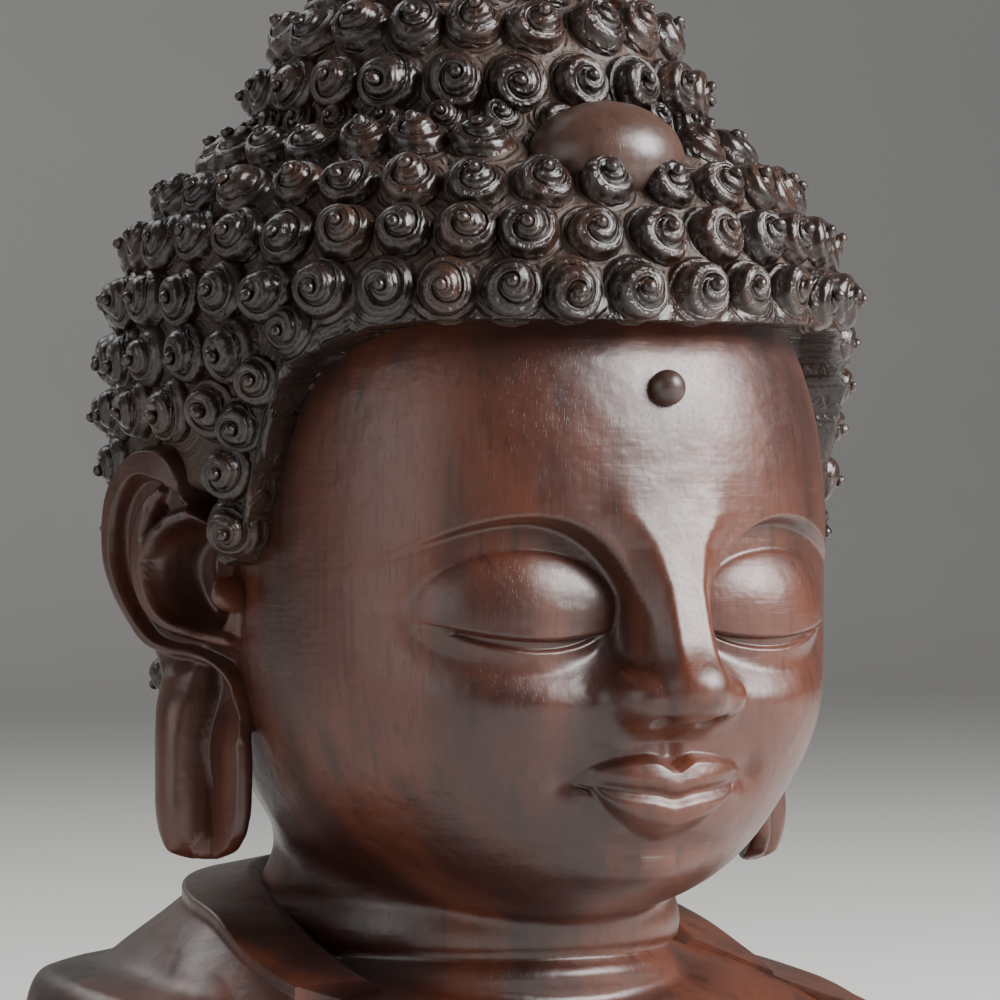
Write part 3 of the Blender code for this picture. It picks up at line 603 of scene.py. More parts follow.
@dataclass
class Scalp:
    """The skull under the curls, from the crown to the hairline."""

    middle: float = -0.35
    squareness: float = 2.12
    row_drop: float = 1.14
    side_count: int = 35
    ear_front: float = 84.0
    ear_rear: float = 111.0
    ear_top: float = 15.9
    sideburn: tuple[tuple[float, float], ...] = ((73.6, 15.15), (74.8, 14.08))
    sideburn_size: float = 0.95
    temple_size: float = 0.86
    temple_room: float = 0.94

    def __post_init__(self) -> None:
        """Sample the profile once."""
        guide = np.array([
            [0.00, 0.00, 0.00, CROWN_LEVEL], [1.50, 1.50, 1.50, 25.90], [2.80, 2.85, 2.80, 25.25],
            [3.75, 3.85, 3.75, 24.35], [4.20, 4.35, 4.20, 23.40], [4.38, 4.60, 4.40, 22.60],
            [4.75, 5.10, 4.90, 22.00], [5.60, 6.20, 6.10, 21.40], [6.40, 7.15, 7.15, 20.50],
            [6.90, 7.80, 7.85, 19.50], [7.14, 8.17, 8.20, 18.40], [7.20, 8.25, 8.35, 17.20],
            [7.12, 8.20, 8.30, 15.60], [6.92, 8.00, 7.95, 13.80], [6.60, 7.60, 7.40, 12.00],
            [6.15, 7.00, 6.75, 10.40], [5.60, 6.40, 6.15, 9.00], [5.10, 5.90, 5.70, 8.00],
        ])
        knots = np.arange(len(guide), dtype=float)
        fine = np.linspace(0.0, knots[-1], 2400)
        self.wide, self.front, self.back, self.level = (spline(fine, knots, guide[:, i]) for i in range(4))
        reach = self.wide + self.front + self.back
        steps = np.hypot(np.diff(reach) / 3.0, np.diff(self.level))
        self.arc = np.concatenate([[0.0], np.cumsum(steps)])
        self.spots = self.curls()

    def point(self, angle: Array | float, z: Array | float) -> Array:
        """Point on the scalp.

        Args:
            angle: Degrees from the front.
            z: Height.

        Returns:
            Points of the drawing.
        """
        down = -np.asarray(z, float)
        lines = (self.wide, self.front, self.back)
        wide, front, back = (np.interp(down, -self.level, line) for line in lines)
        sine, cosine = np.sin(np.radians(angle)), np.cos(np.radians(angle))
        power = 2.0 / self.squareness
        x = wide * np.sign(sine) * np.abs(sine) ** power
        t = self.middle + np.where(cosine > 0.0, front, back) * np.sign(cosine) * np.abs(cosine) ** power
        return np.stack([x, t, z + 0.0 * x], -1)

    def normal(self, angle: Array | float, z: Array | float) -> Array:
        """Outward direction of the scalp.

        Args:
            angle: Degrees from the front.
            z: Height.

        Returns:
            Directions of length 1.
        """
        z = np.asarray(z, float)
        across = self.point(angle + 1.0, z) - self.point(angle - 1.0, z)
        along = self.point(angle, np.minimum(z + 0.06, CROWN_LEVEL)) - self.point(angle, z - 0.06)
        way = np.cross(along, across)
        size = np.linalg.norm(way, axis=-1, keepdims=True)
        return np.where(size > 1e-9, way / np.maximum(size, 1e-9), [0.0, 0.0, 1.0])

    def axes(self, angle: float, z: float) -> Array:
        """Side, upward and outward directions of a curl.

        Args:
            angle: Degrees from the front.
            z: Height.

        Returns:
            Three rows. Curls lean down a little, and those before the ears lean to the front as well.
        """
        before_ear = float(smooth(17.6, 16.6, z)) if folded(angle) < self.ear_front else 0.0
        out = self.normal(angle, z) + [0.0, 0.42 * before_ear, -0.16 * float(smooth(24.5, 21.0, z))]
        out = out / np.linalg.norm(out)
        side = np.cross(out, [0.0, 0.0, 1.0] if abs(out[2]) < 0.9 else [1.0, 0.0, 0.0])
        side = side / np.linalg.norm(side)
        return np.stack([side, np.cross(out, side), out])

    def edge(self, angle: Array | float) -> Array:
        """Height of the hairline at an angle in degrees from the front."""
        angles, heights = np.array(HAIRLINE).T
        return np.interp(folded(angle), angles, heights)

    def curls(self) -> Array:
        """Every curl that shows, from the fringe up and then down the nape.

        Returns:
            Angle, height and size, one row a curl.
        """
        upper = [(FRINGE_LEVEL + 0.64, 36, 1.0), (19.90, 34, 1.0), (20.88, 30, 1.0), (21.72, 26, 1.0),
                 (22.42, 24, 0.72), (23.24, 21, 1.0), (24.36, 19, 1.0), (25.16, 15, 1.0), (25.68, 11, 0.95),
                 (26.01, 6, 0.9)]
        rows = []
        for i, (z, count, size) in enumerate(upper):
            rows += [(360.0 / count * (k + (0.0 if i % 2 else 0.5)), z, size) for k in range(count)]
        rows.append((0.0, CROWN_LEVEL, 1.0))
        z = FRINGE_LEVEL + 0.64 - self.row_drop
        i = 1
        while z > 9.5:
            for k in range(self.side_count):
                angle = 360.0 / self.side_count * (k + (0.0 if i % 2 else 0.5))
                if z >= 16.2 or folded(angle) >= self.ear_front:
                    rows.append((angle, z, self.side_size(angle, z)))
            z -= self.row_drop
            i += 1
        for angle, z in self.sideburn:
            rows += [(angle, z, self.sideburn_size), (360.0 - angle, z, self.sideburn_size)]
        shown = [row for row in rows if self.has_room(row[0], row[1]) and not self.is_covered(*row[:2])]
        return np.array(shown + self.edge_curls(shown))

    def side_size(self, angle: float, z: float) -> float:
        """Size of a curl below the fringe, smaller low down behind the ears.

        Args:
            angle: Degrees from the front.
            z: Height.

        Returns:
            The size, 1 for a full curl.
        """
        if z > 12.5 or folded(angle) > 130.0:
            return 1.0
        return 0.66 if z > 11.5 else 0.50

    def edge_curls(self, shown: list[Place]) -> list[Place]:
        """Smaller curls that fill the gaps along the temples.

        Args:
            shown: The curls that stand already.

        Returns:
            The curls to add, on both sides.
        """
        angle, z = np.meshgrid(np.arange(38.0, 80.0, 0.5), np.arange(13.0, 19.0, 0.06))
        angle, z = angle.ravel(), z.ravel()
        spots = self.point(angle, z)
        around = np.arange(20.0, 92.0, 0.5)
        line = self.point(around, self.edge(around))
        to_edge = np.linalg.norm(spots[:, None] - line[None], axis=-1).min(axis=1)
        fit = (z > self.edge(angle)) & (to_edge > 0.52) & (to_edge < 0.86)
        angle, z, spots = angle[fit], z[fit], spots[fit]
        taken = [self.point(row[0], row[1]) for row in shown if 25.0 < row[0] < 95.0]
        added = []
        while True:
            room = np.linalg.norm(spots[:, None] - np.array(taken)[None], axis=-1).min(axis=1)
            free = room > self.temple_room
            if not free.any():
                break
            best = int(np.argmin(np.where(free, room, 99.0)))
            taken.append(spots[best])
            added += [(turn, z[best], self.temple_size) for turn in (angle[best], 360.0 - angle[best])]
        return added

    def has_room(self, angle: float, z: float) -> bool:
        """Tell whether a curl stands inside the hairline and keeps clear of it.

        Args:
            angle: Degrees from the front.
            z: Height.

        Returns:
            True where it does.
        """
        if z <= self.edge(angle):
            return False
        nearby = np.linspace(angle - 12.0, angle + 12.0, 97)
        line = self.point(nearby, self.edge(nearby))
        return bool(np.linalg.norm(line - self.point(angle, z), axis=1).min() > 0.46)

    def is_covered(self, angle: float, z: float) -> bool:
        """Tell whether an ear or the jewel takes the place of a curl.

        Args:
            angle: Degrees from the front.
            z: Height.

        Returns:
            True where one does.
        """
        away = folded(angle)
        rear = self.ear_rear + 6.0 * smooth(13.0, 12.2, z)
        by_ear = self.ear_front < away < rear and z < self.ear_top
        return bool(by_ear or (away < 17.0 and 21.3 < z < 22.4))


@dataclass
class HairCap:
    """Ground of the hair between the curls, with its crisp edge over the brow."""

    scalp: Scalp
    columns: int = 500
    rows: int = 188
    edge_height: float = 0.20
    gouge_width: float = 0.150
    ringed: float = 1.12
    lip: float = 0.03
    bowl_depth: float = 1.25
    at_once: int = 8000

    def footing(self, turn: Array, share: Array) -> tuple[Array, Array, Array]:
        """Angle, height and distance from the hairline of points of the ground.

        Args:
            turn: Share of the way around, 0 at the front.
            share: Share of the way from the hidden lip to the crown.

        Returns:
            Degrees, heights and distances along the scalp.
        """
        angle = 360.0 * turn
        up = np.clip((share - self.lip) / (1.0 - self.lip), 0.0, 1.0)
        low = np.interp(-self.scalp.edge(angle), -self.scalp.level, self.scalp.arc)
        return angle, np.interp(low * (1.0 - up), self.scalp.arc, self.scalp.level), low * up

    def surface(self, turn: Array, share: Array) -> Array:
        """Lip, edge and ridged ground of the hair.

        Args:
            turn: Share of the way around, 0 at the front.
            share: Share of the way from the hidden lip to the crown.

        Returns:
            Points of the drawing.
        """
        angle, z, from_edge = self.footing(turn, share)
        base = self.scalp.point(angle, z)
        way = self.scalp.normal(angle, z)
        height = self.edge_height * smooth(0.9, 0.0, from_edge) + self.ground(base)
        away = folded(angle)
        in_bowl = smooth(78.0, 81.5, away) * smooth(106.0, 100.0, away) * smooth(15.0, 14.3, z)
        height = height - self.bowl_depth * in_bowl
        inward = (np.array([0.0, 0.3, 0.0]) - base) * [1.0, 1.0, 0.0]
        inward = inward / (np.linalg.norm(inward, axis=-1, keepdims=True) + 1e-9)
        hidden = np.clip((self.lip - share) / self.lip, 0.0, 1.0)
        return base + way * height[:, None] + inward * hidden[:, None]

    def nearest_curl(self, base: Array) -> tuple[Array, Array]:
        """Distance to the nearest curl, in its own size, and which one that is.

        Args:
            base: Points on the scalp.

        Returns:
            Distances and numbers of the curls.
        """
        spots = self.scalp.spots
        centres = self.scalp.point(spots[:, 0], spots[:, 1])
        away = np.zeros(len(base))
        which = np.zeros(len(base), int)
        for start in range(0, len(base), self.at_once):
            part = slice(start, start + self.at_once)
            reach = np.linalg.norm(base[part, None, :] - centres[None], axis=-1) / spots[None, :, 2]
            away[part] = reach.min(axis=1)
            which[part] = reach.argmin(axis=1)
        return away, which

    def ground(self, base: Array) -> Array:
        """Height of the gouged ridges that ring each curl.

        Args:
            base: Points on the scalp.

        Returns:
            Height over the scalp at each point.
        """
        away, which = self.nearest_curl(base)
        spots = self.scalp.spots[which]
        centre = self.scalp.point(spots[:, 0], spots[:, 1])
        lean = np.arctan2(base[:, 2] - centre[:, 2], base[:, 0] - centre[:, 0])
        crescent = 0.5 + 0.5 * np.cos(lean + 2.4 * which)
        far = 0.5 + 0.5 * np.cos(lean - 1.7 * which + 2.0)
        skirt = 0.20 * smooth(1.0, 0.55, away)
        first = (0.05 + 0.13 * crescent) * bump(away, 0.84, 0.075)
        return skirt + first + 0.12 * far * bump(away, 1.06, 0.08)

    def build(self, material: bpy.types.Material) -> bpy.types.Object:
        """Carve the ground of the hair.

        Args:
            material: Its finish.

        Returns:
            The piece.
        """
        sheet = blank_sheet(fineness(self.columns), fineness(self.rows))
        flat = np.array([v.co[:2] for v in sheet.verts])
        angle, z, from_edge = self.footing(flat[:, 0], flat[:, 1])
        away = self.nearest_curl(self.scalp.point(angle, z))[0]
        # Share of dull brown on the ground. It is held at 0 along the band by the hairline edge, so that
        # band keeps the dark crest colour as painted shade.
        note(sheet, "valley", smooth(0.30, 0.85, from_edge) * smooth(0.45, 0.75, away))
        note(sheet, "whorl", np.minimum(away, self.ringed) / self.gouge_width)
        carve(sheet, self.surface)
        close_up(sheet)
        return present("hair_ground", sheet, material, 60.0)


class CurlZone(Enum):
    """Which part of the hair a set of curls covers."""

    FRINGE_AND_CROWN = "hair_curls_upper"
    SIDES_AND_NAPE = "hair_curls_lower"


@dataclass
class SnailCurls:
    """Snail-shell curls, each a strip coiled up to a blunt tip."""

    scalp: Scalp
    zone: CurlZone
    steps: int = 8
    columns: int = 22
    across: int = 4
    height: float = 1.00
    tip_radius: float = 0.17
    cuts: float = 3.0
    zone_level: float = 18.6
    seed: int = 7

    def rail(self, at: Array) -> tuple[Array, Array]:
        """Radius and height of the groove between the whorls.

        Args:
            at: Number of turns from the foot.

        Returns:
            Radius and height at each place.
        """
        turns = [0.0, 0.5, 1.0, 1.4, 1.75, 2.75]
        radius = np.interp(at, turns, [0.79, 0.74, 0.56, 0.42, 0.23, 0.05])
        lift = np.interp(at, turns, [-0.18, 0.02, 0.36, 0.54, 0.70, 0.71])
        return radius, lift

    def shell(self) -> Sheet:
        """Coil one strip into a closed shell that stands on its own foot, with its blunt tip.

        Returns:
            The shell in fingers.
        """
        shell = bmesh.new()
        bmesh.ops.create_grid(shell, x_segments=self.columns, y_segments=self.across, size=0.5)
        flat = np.array([v.co[:2] for v in shell.verts]) + 0.5
        outer = flat[:, 0] * self.columns / self.steps - 1.0
        reach_out, lift_out = self.rail(outer)
        reach_in, lift_in = self.rail(outer + 1.0)
        rows = [0.0, 0.25, 0.5, 0.75, 1.0]
        inward = np.interp(flat[:, 1], rows, [0.0, 0.02, 0.36, 0.90, 1.0])
        rise = np.interp(flat[:, 1], rows, [0.0, 0.58, 0.98, 1.0, 1.0])
        lip = np.interp(flat[:, 1], rows, [0.0, 0.0, 0.05, 0.13, 0.0])
        lip = lip * smooth(0.0, 0.12, reach_out - reach_in)
        reach = reach_out + (reach_in - reach_out) * inward
        note(shell, "whorl", self.cuts * flat[:, 1])
        turn = 2.0 * np.pi * outer
        lift = lift_out + (lift_in - lift_out) * rise + lip
        move_to(shell, np.stack([reach * np.cos(turn), reach * np.sin(turn), lift], -1))
        bmesh.ops.remove_doubles(shell, verts=shell.verts, dist=1e-4)
        fill_openings(shell)
        tip = bmesh.ops.create_icosphere(shell, subdivisions=1, radius=self.tip_radius * 1.08)
        bmesh.ops.translate(shell, vec=(0.0, 0.0, self.height - self.tip_radius), verts=tip["verts"])
        bmesh.ops.recalc_face_normals(shell, faces=shell.faces)
        return shell

    def members(self) -> Array:
        """Curls of this zone.

        Returns:
            Angle, height and size, one row a curl.
        """
        spots = self.scalp.spots
        upper = spots[:, 1] > self.zone_level
        return spots[upper if self.zone is CurlZone.FRINGE_AND_CROWN else ~upper]

    def build(self, material: bpy.types.Material) -> bpy.types.Object:
        """Set every curl of the zone on the scalp, each turned and leaning a little differently.

        Args:
            material: Its finish.

        Returns:
            The piece.
        """
        shell = self.shell()
        template = bpy.data.meshes.new("shell")
        shell.to_mesh(template)
        shape = np.array([v.co for v in shell.verts])
        shell.free()
        chance = np.random.default_rng(self.seed)
        sheet = bmesh.new()
        points = []
        members = self.members()
        for angle, z, size in members:
            sheet.from_mesh(template)
            turn = chance.uniform(-1.0, 1.0) - 0.9
            sine, cosine = math.sin(turn), math.cos(turn)
            spin = np.array([[cosine, sine, 0.0], [-sine, cosine, 0.0], [0.0, 0.0, 1.0]])
            wide = size * chance.uniform(0.92, 1.06, 2)
            local = (shape * [wide[0], wide[1], size * chance.uniform(0.90, 1.0)]) @ spin
            local += 0.034 * np.sin(local[:, [1, 2, 0]] * 8.0 + chance.uniform(0.0, 6.0, 3))
            local[:, :2] += chance.normal(0.0, 0.085, 2) * np.clip(local[:, 2:3], 0.0, None)
            local[:, :2] += chance.uniform(-0.055, 0.055, 2)
            points.append(self.scalp.point(angle, z) + local @ self.scalp.axes(angle, z))
        bpy.data.meshes.remove(template)
        move_to(sheet, placed(np.concatenate(points)))
        bmesh.ops.recalc_face_normals(sheet, faces=sheet.faces)
        note(sheet, "valley", smooth(0.26, -0.05, np.tile(shape[:, 2], len(members))))
        piece = present(self.zone.value, sheet, material)
        rounding = piece.modifiers.new("rounding", "SUBSURF")
        rounding.levels = 1
        rounding.render_levels = 1
        return piece


@dataclass
class SmoothBoss:
    """Plain polished dome that stands out of the carving."""

    name: str
    centre: Place
    radii: Place

    def build(self, material: bpy.types.Material) -> bpy.types.Object:
        """Turn the dome and set it in its place.

        Args:
            material: Its finish.

        Returns:
            The piece.
        """
        ball = bmesh.new()
        bmesh.ops.create_uvsphere(ball, u_segments=fineness(72), v_segments=fineness(40), radius=1.0)
        move_to(ball, placed(np.array([v.co for v in ball.verts]) * self.radii + self.centre))
        bmesh.ops.recalc_face_normals(ball, faces=ball.faces)
        return present(self.name, ball, material)


class Hand(Enum):
    """Side of the figure that an ear is on."""

    LEFT = 1
    RIGHT = -1


def ridge_field(q: Array, z: Array, line: tuple[Numbers, ...]) -> Array:
    """Raised band that follows a smooth line.

    Args:
        q: First coordinate.
        z: Second coordinate.
        line: Points of the line, each with the band's height and the half-widths of its top and foot.

    Returns:
        Height of the band at each point.
    """
    knots = np.arange(len(line), dtype=float)
    fine = np.linspace(0.0, knots[-1], 16 * len(line))
    columns = [spline(fine, knots, [p[i] for p in line]) for i in range(5)]
    away = np.hypot(q[:, None] - columns[0][None], z[:, None] - columns[1][None])
    nearest = away.argmin(axis=1)
    away = away.min(axis=1)
    height, top, foot = (columns[i][nearest] for i in (2, 3, 4))
    return height * smooth(foot, top, away)


EAR_OUTLINE = (
    (6.92, 0.30, 0.85), (7.05, -0.15, 1.20), (7.35, -0.55, 1.48), (7.8, -0.75, 1.63), (8.5, -0.82, 1.70),
    (9.5, -0.80, 1.74), (10.3, -0.62, 1.84), (10.9, -0.55, 2.00), (11.4, -0.58, 2.22), (11.9, -0.70, 2.48),
    (12.5, -0.85, 2.80), (13.2, -0.62, 3.00), (13.9, -0.15, 3.06), (14.3, 0.35, 3.04), (14.6, 0.58, 3.00),
    (15.0, 0.42, 2.88), (15.36, 0.14, 2.66), (15.57, 0.28, 2.38), (15.72, 0.62, 1.95), (15.80, 1.05, 1.45),
)
EAR_RIM = (
    (0.70, 14.62, 0.10, 0.02, 0.14), (0.70, 14.88, 0.28, 0.10, 0.26), (0.88, 15.16, 0.38, 0.20, 0.40),
    (1.20, 15.32, 0.40, 0.24, 0.44), (1.66, 15.36, 0.38, 0.21, 0.40), (2.12, 15.18, 0.36, 0.17, 0.34),
    (2.54, 14.68, 0.34, 0.15, 0.30), (2.74, 14.02, 0.34, 0.15, 0.30), (2.73, 13.24, 0.34, 0.14, 0.29),
    (2.54, 12.55, 0.33, 0.12, 0.27), (2.24, 11.98, 0.31, 0.09, 0.24), (1.85, 11.58, 0.28, 0.06, 0.20),
    (1.30, 11.42, 0.26, 0.04, 0.18), (0.60, 11.34, 0.24, 0.03, 0.17), (-0.10, 11.02, 0.22, 0.03, 0.16),
    (-0.52, 10.45, 0.18, 0.02, 0.15), (-0.80, 9.60, 0.04, 0.02, 0.14),
)
EAR_RIDGE = (
    (1.32, 14.74, 0.16, 0.06, 0.20), (1.58, 14.46, 0.24, 0.09, 0.24), (1.80, 14.00, 0.27, 0.12, 0.27),
    (1.86, 13.40, 0.28, 0.15, 0.30), (1.84, 12.78, 0.28, 0.14, 0.29), (1.66, 12.26, 0.27, 0.10, 0.25),
    (1.28, 11.96, 0.26, 0.06, 0.21), (0.75, 11.84, 0.25, 0.05, 0.19), (0.15, 11.72, 0.25, 0.05, 0.20),
    (-0.40, 11.62, 0.22, 0.05, 0.22),
)
EAR_ARM = (
    (0.58, 14.28, 0.10, 0.06, 0.20), (1.05, 14.10, 0.24, 0.09, 0.21), (1.42, 13.82, 0.26, 0.09, 0.21),
    (1.72, 13.42, 0.27, 0.08, 0.20),
)


@dataclass
class LongEar:
    """Long ear with its rim, inner ridge, bowl and hanging lobe."""

    hand: Hand
    columns: int = 132
    rows: int = 250
    root: tuple[float, float] = (6.50, 0.55)
    lean: float = 0.40
    splay: float = math.radians(18.7)
    flare: float = 0.45
    low: float = 6.92
    high: float = 15.80
    wrap_share: float = 0.7
    left_lobe_out: float = 0.20
    left_lobe_drop: float = 0.34
    right_lobe_drop: float = -0.12

    def outline(self, z: Array) -> tuple[Array, Array]:
        """Front and rear edge of the ear at a height, measured back from its root."""
        levels, front, rear = np.array(EAR_OUTLINE).T
        return spline(z, levels, front), spline(z, levels, rear)

    def relief(self, q: Array, z: Array) -> Array:
        """Height of the ear's outer face.

        Args:
            q: Distance back from the root.
            z: Height.

        Returns:
            Height of rim, groove, inner ridge with its two arms, bowl, knob and lobe.
        """
        upper = smooth(11.05, 11.75, z + 0.20 * q)
        bowl = smooth(1.05, 0.70, np.hypot((q - 0.47) / 1.08, (z - 12.94) / 1.22))
        fossa = smooth(1.2, 0.6, np.hypot((q - 1.36 - 0.35 * (z - 14.28)) / 0.20, (z - 14.26) / 0.36))
        ground = -0.10 * upper - 0.95 * bowl - 0.22 * fossa
        begin = 0.25 + 0.75 * smooth(11.5, 10.1, z)
        low_end = np.clip(8.2 - z, 0.0, 2.0) / 1.45
        strip = begin * np.clip(1.0 - ((q - 1.05) / 0.66) ** 2 - low_end ** 2, 0.0, 1.0) ** 0.5
        slot = bump(q, 0.34, 0.09) * smooth(7.3, 7.6, z) * smooth(9.4, 8.2, z)
        ground = ground + (1.0 - upper) * (0.62 * strip - 0.34 * smooth(0.60, 0.30, q) - 0.16 * slot)
        knob = 0.50 * np.sqrt(np.clip(1.0 - np.hypot((q + 0.64) / 0.32, (z - 12.62) / 0.38) ** 2, 0.0, 1.0))
        bands = [ridge_field(q, z, line) for line in (EAR_RIDGE, EAR_ARM, EAR_RIM)]
        crest = np.maximum.reduce([knob, *bands])
        nick = 0.10 * bump(np.hypot((q - 0.66) / 0.10, (z - 13.15) / 0.30), 0.0, 1.0)
        return ground * (1.0 - 0.75 * smooth(0.0, 0.22, crest)) + crest + nick

    def surface(self, wrap: Array, climb: Array) -> Array:
        """Outer and inner face of the ear as one rolled sheet.

        Args:
            wrap: Share of the way around the ear's section: out over the face and back behind it.
            climb: Share of the way up from the lobe to the top.

        Returns:
            Points of the drawing.
        """
        z = self.low + (self.high - self.low) * (0.45 * climb + 0.55 * (1.0 - np.cos(np.pi * climb)) / 2.0)
        front, rear = self.outline(z)
        outer = wrap < self.wrap_share
        share = np.where(outer, wrap / self.wrap_share, (1.0 - wrap) / (1.0 - self.wrap_share))
        share = 0.35 * share + 0.65 * (0.5 - 0.5 * np.cos(np.pi * share))
        q = front + (rear - front) * share
        edge = np.minimum(2.3 * share, 1.0 - share) * (rear - front)
        face = self.relief(q, z)
        sunk = 0.55 + 1.5 * smooth(1.9, 0.2, q) * smooth(9.4, 10.8, z)
        back = np.minimum(-sunk, face - 0.42)
        middle = np.maximum((face + back) / 2.0, face - 0.45)
        tip = np.minimum(z - self.low, self.high - z)
        round_off = 1.0
        for reach in (edge / 0.32, tip / 0.22):
            round_off = round_off * np.sqrt(np.clip(1.0 - (1.0 - np.clip(reach, 0.0, 1.0)) ** 2, 0.0, 1.0))
        out = middle + (np.where(outer, face, back) - middle) * round_off
        root = self.root[0] + self.lean * smooth(10.5, 13.5, z)
        root = root + self.flare * smooth(2.0, -0.75, q) * smooth(10.8, 9.4, z)
        if self.hand is Hand.LEFT:
            root = root + self.left_lobe_out * smooth(9.6, 7.6, z)
        drop = self.left_lobe_drop if self.hand is Hand.LEFT else self.right_lobe_drop
        z = z - drop * smooth(9.6, 7.2, z)
        x = root + q * math.sin(self.splay) + out * math.cos(self.splay)
        t = self.root[1] - q * math.cos(self.splay) + out * math.sin(self.splay)
        return np.stack([self.hand.value * x, t, z], -1)

    def build(self, material: bpy.types.Material) -> bpy.types.Object:
        """Carve the ear."""
        sheet = carved_sheet(self.columns, self.rows, self.surface)
        return present(f"ear_{self.hand.name.lower()}", sheet, material)


@dataclass(frozen=True)
class ShoulderGuide:
    """Sections of the robe around one side of the body, from the hem to the middle of the back."""

    hem: float
    slant: float
    angles: Numbers
    rows: tuple[tuple[Numbers, ...], ...]

    def read(self, row: int, column: int, away: Array) -> Array:
        """Radius (column 0) or height (column 1) of a row at degrees from the front."""
        return spline(away, self.angles, np.array(self.rows)[:, row, column])


RIGHT_SHOULDER = ShoulderGuide(48.0, 9.0, (48.0, 66.0, 82.0, 98.0, 118.0, 150.0, 180.0), (
    ((6.05, 4.70), (7.80, 4.25), (7.80, 4.00), (8.45, 3.60), (9.10, 3.30), (9.35, 1.60), (9.40, -0.6)),
    ((5.35, 5.40), (7.25, 5.15), (7.25, 4.88), (8.10, 4.20), (9.25, 3.95), (9.80, 1.80), (9.90, -0.6)),
    ((5.00, 5.95), (6.62, 5.90), (6.62, 5.60), (7.95, 4.50), (9.40, 4.30), (10.2, 2.00), (10.3, -0.6)),
    ((4.80, 6.33), (6.38, 6.18), (6.38, 5.86), (7.95, 4.62), (9.45, 4.50), (10.3, 2.20), (10.4, -0.6)),
    ((4.75, 6.65), (6.24, 6.37), (6.24, 6.02), (7.95, 4.66), (9.33, 4.58), (9.85, 2.40), (10.0, -0.6)),
    ((4.72, 6.80), (6.20, 6.50), (6.20, 6.12), (7.25, 5.00), (8.10, 4.30), (8.60, 2.40), (8.70, -0.6)),
    ((4.70, 6.85), (6.20, 6.52), (6.20, 6.14), (6.90, 5.10), (7.45, 4.20), (7.75, 2.40), (7.80, -0.6)),
))
LEFT_SHOULDER = ShoulderGuide(72.0, -8.0, (64.0, 82.0, 98.0, 118.0, 150.0, 180.0), (
    ((5.00, 4.85), (6.60, 4.30), (6.62, 4.22), (7.80, 3.80), (9.00, 3.40), (9.75, 1.75), (9.85, -0.6)),
    ((4.90, 5.20), (6.42, 4.72), (6.42, 4.42), (7.90, 3.96), (9.20, 3.62), (10.1, 1.90), (10.3, -0.6)),
    ((4.80, 5.75), (6.32, 5.28), (6.32, 4.96), (7.90, 4.20), (9.30, 3.90), (10.3, 2.10), (10.4, -0.6)),
    ((4.75, 6.30), (6.24, 5.92), (6.24, 5.58), (7.95, 4.48), (9.30, 4.25), (9.85, 2.35), (10.0, -0.6)),
    ((4.72, 6.72), (6.20, 6.40), (6.20, 6.02), (7.25, 4.96), (8.10, 4.28), (8.60, 2.40), (8.70, -0.6)),
    ((4.70, 6.85), (6.20, 6.52), (6.20, 6.14), (6.90, 5.10), (7.45, 4.20), (7.75, 2.40), (7.80, -0.6)),
))


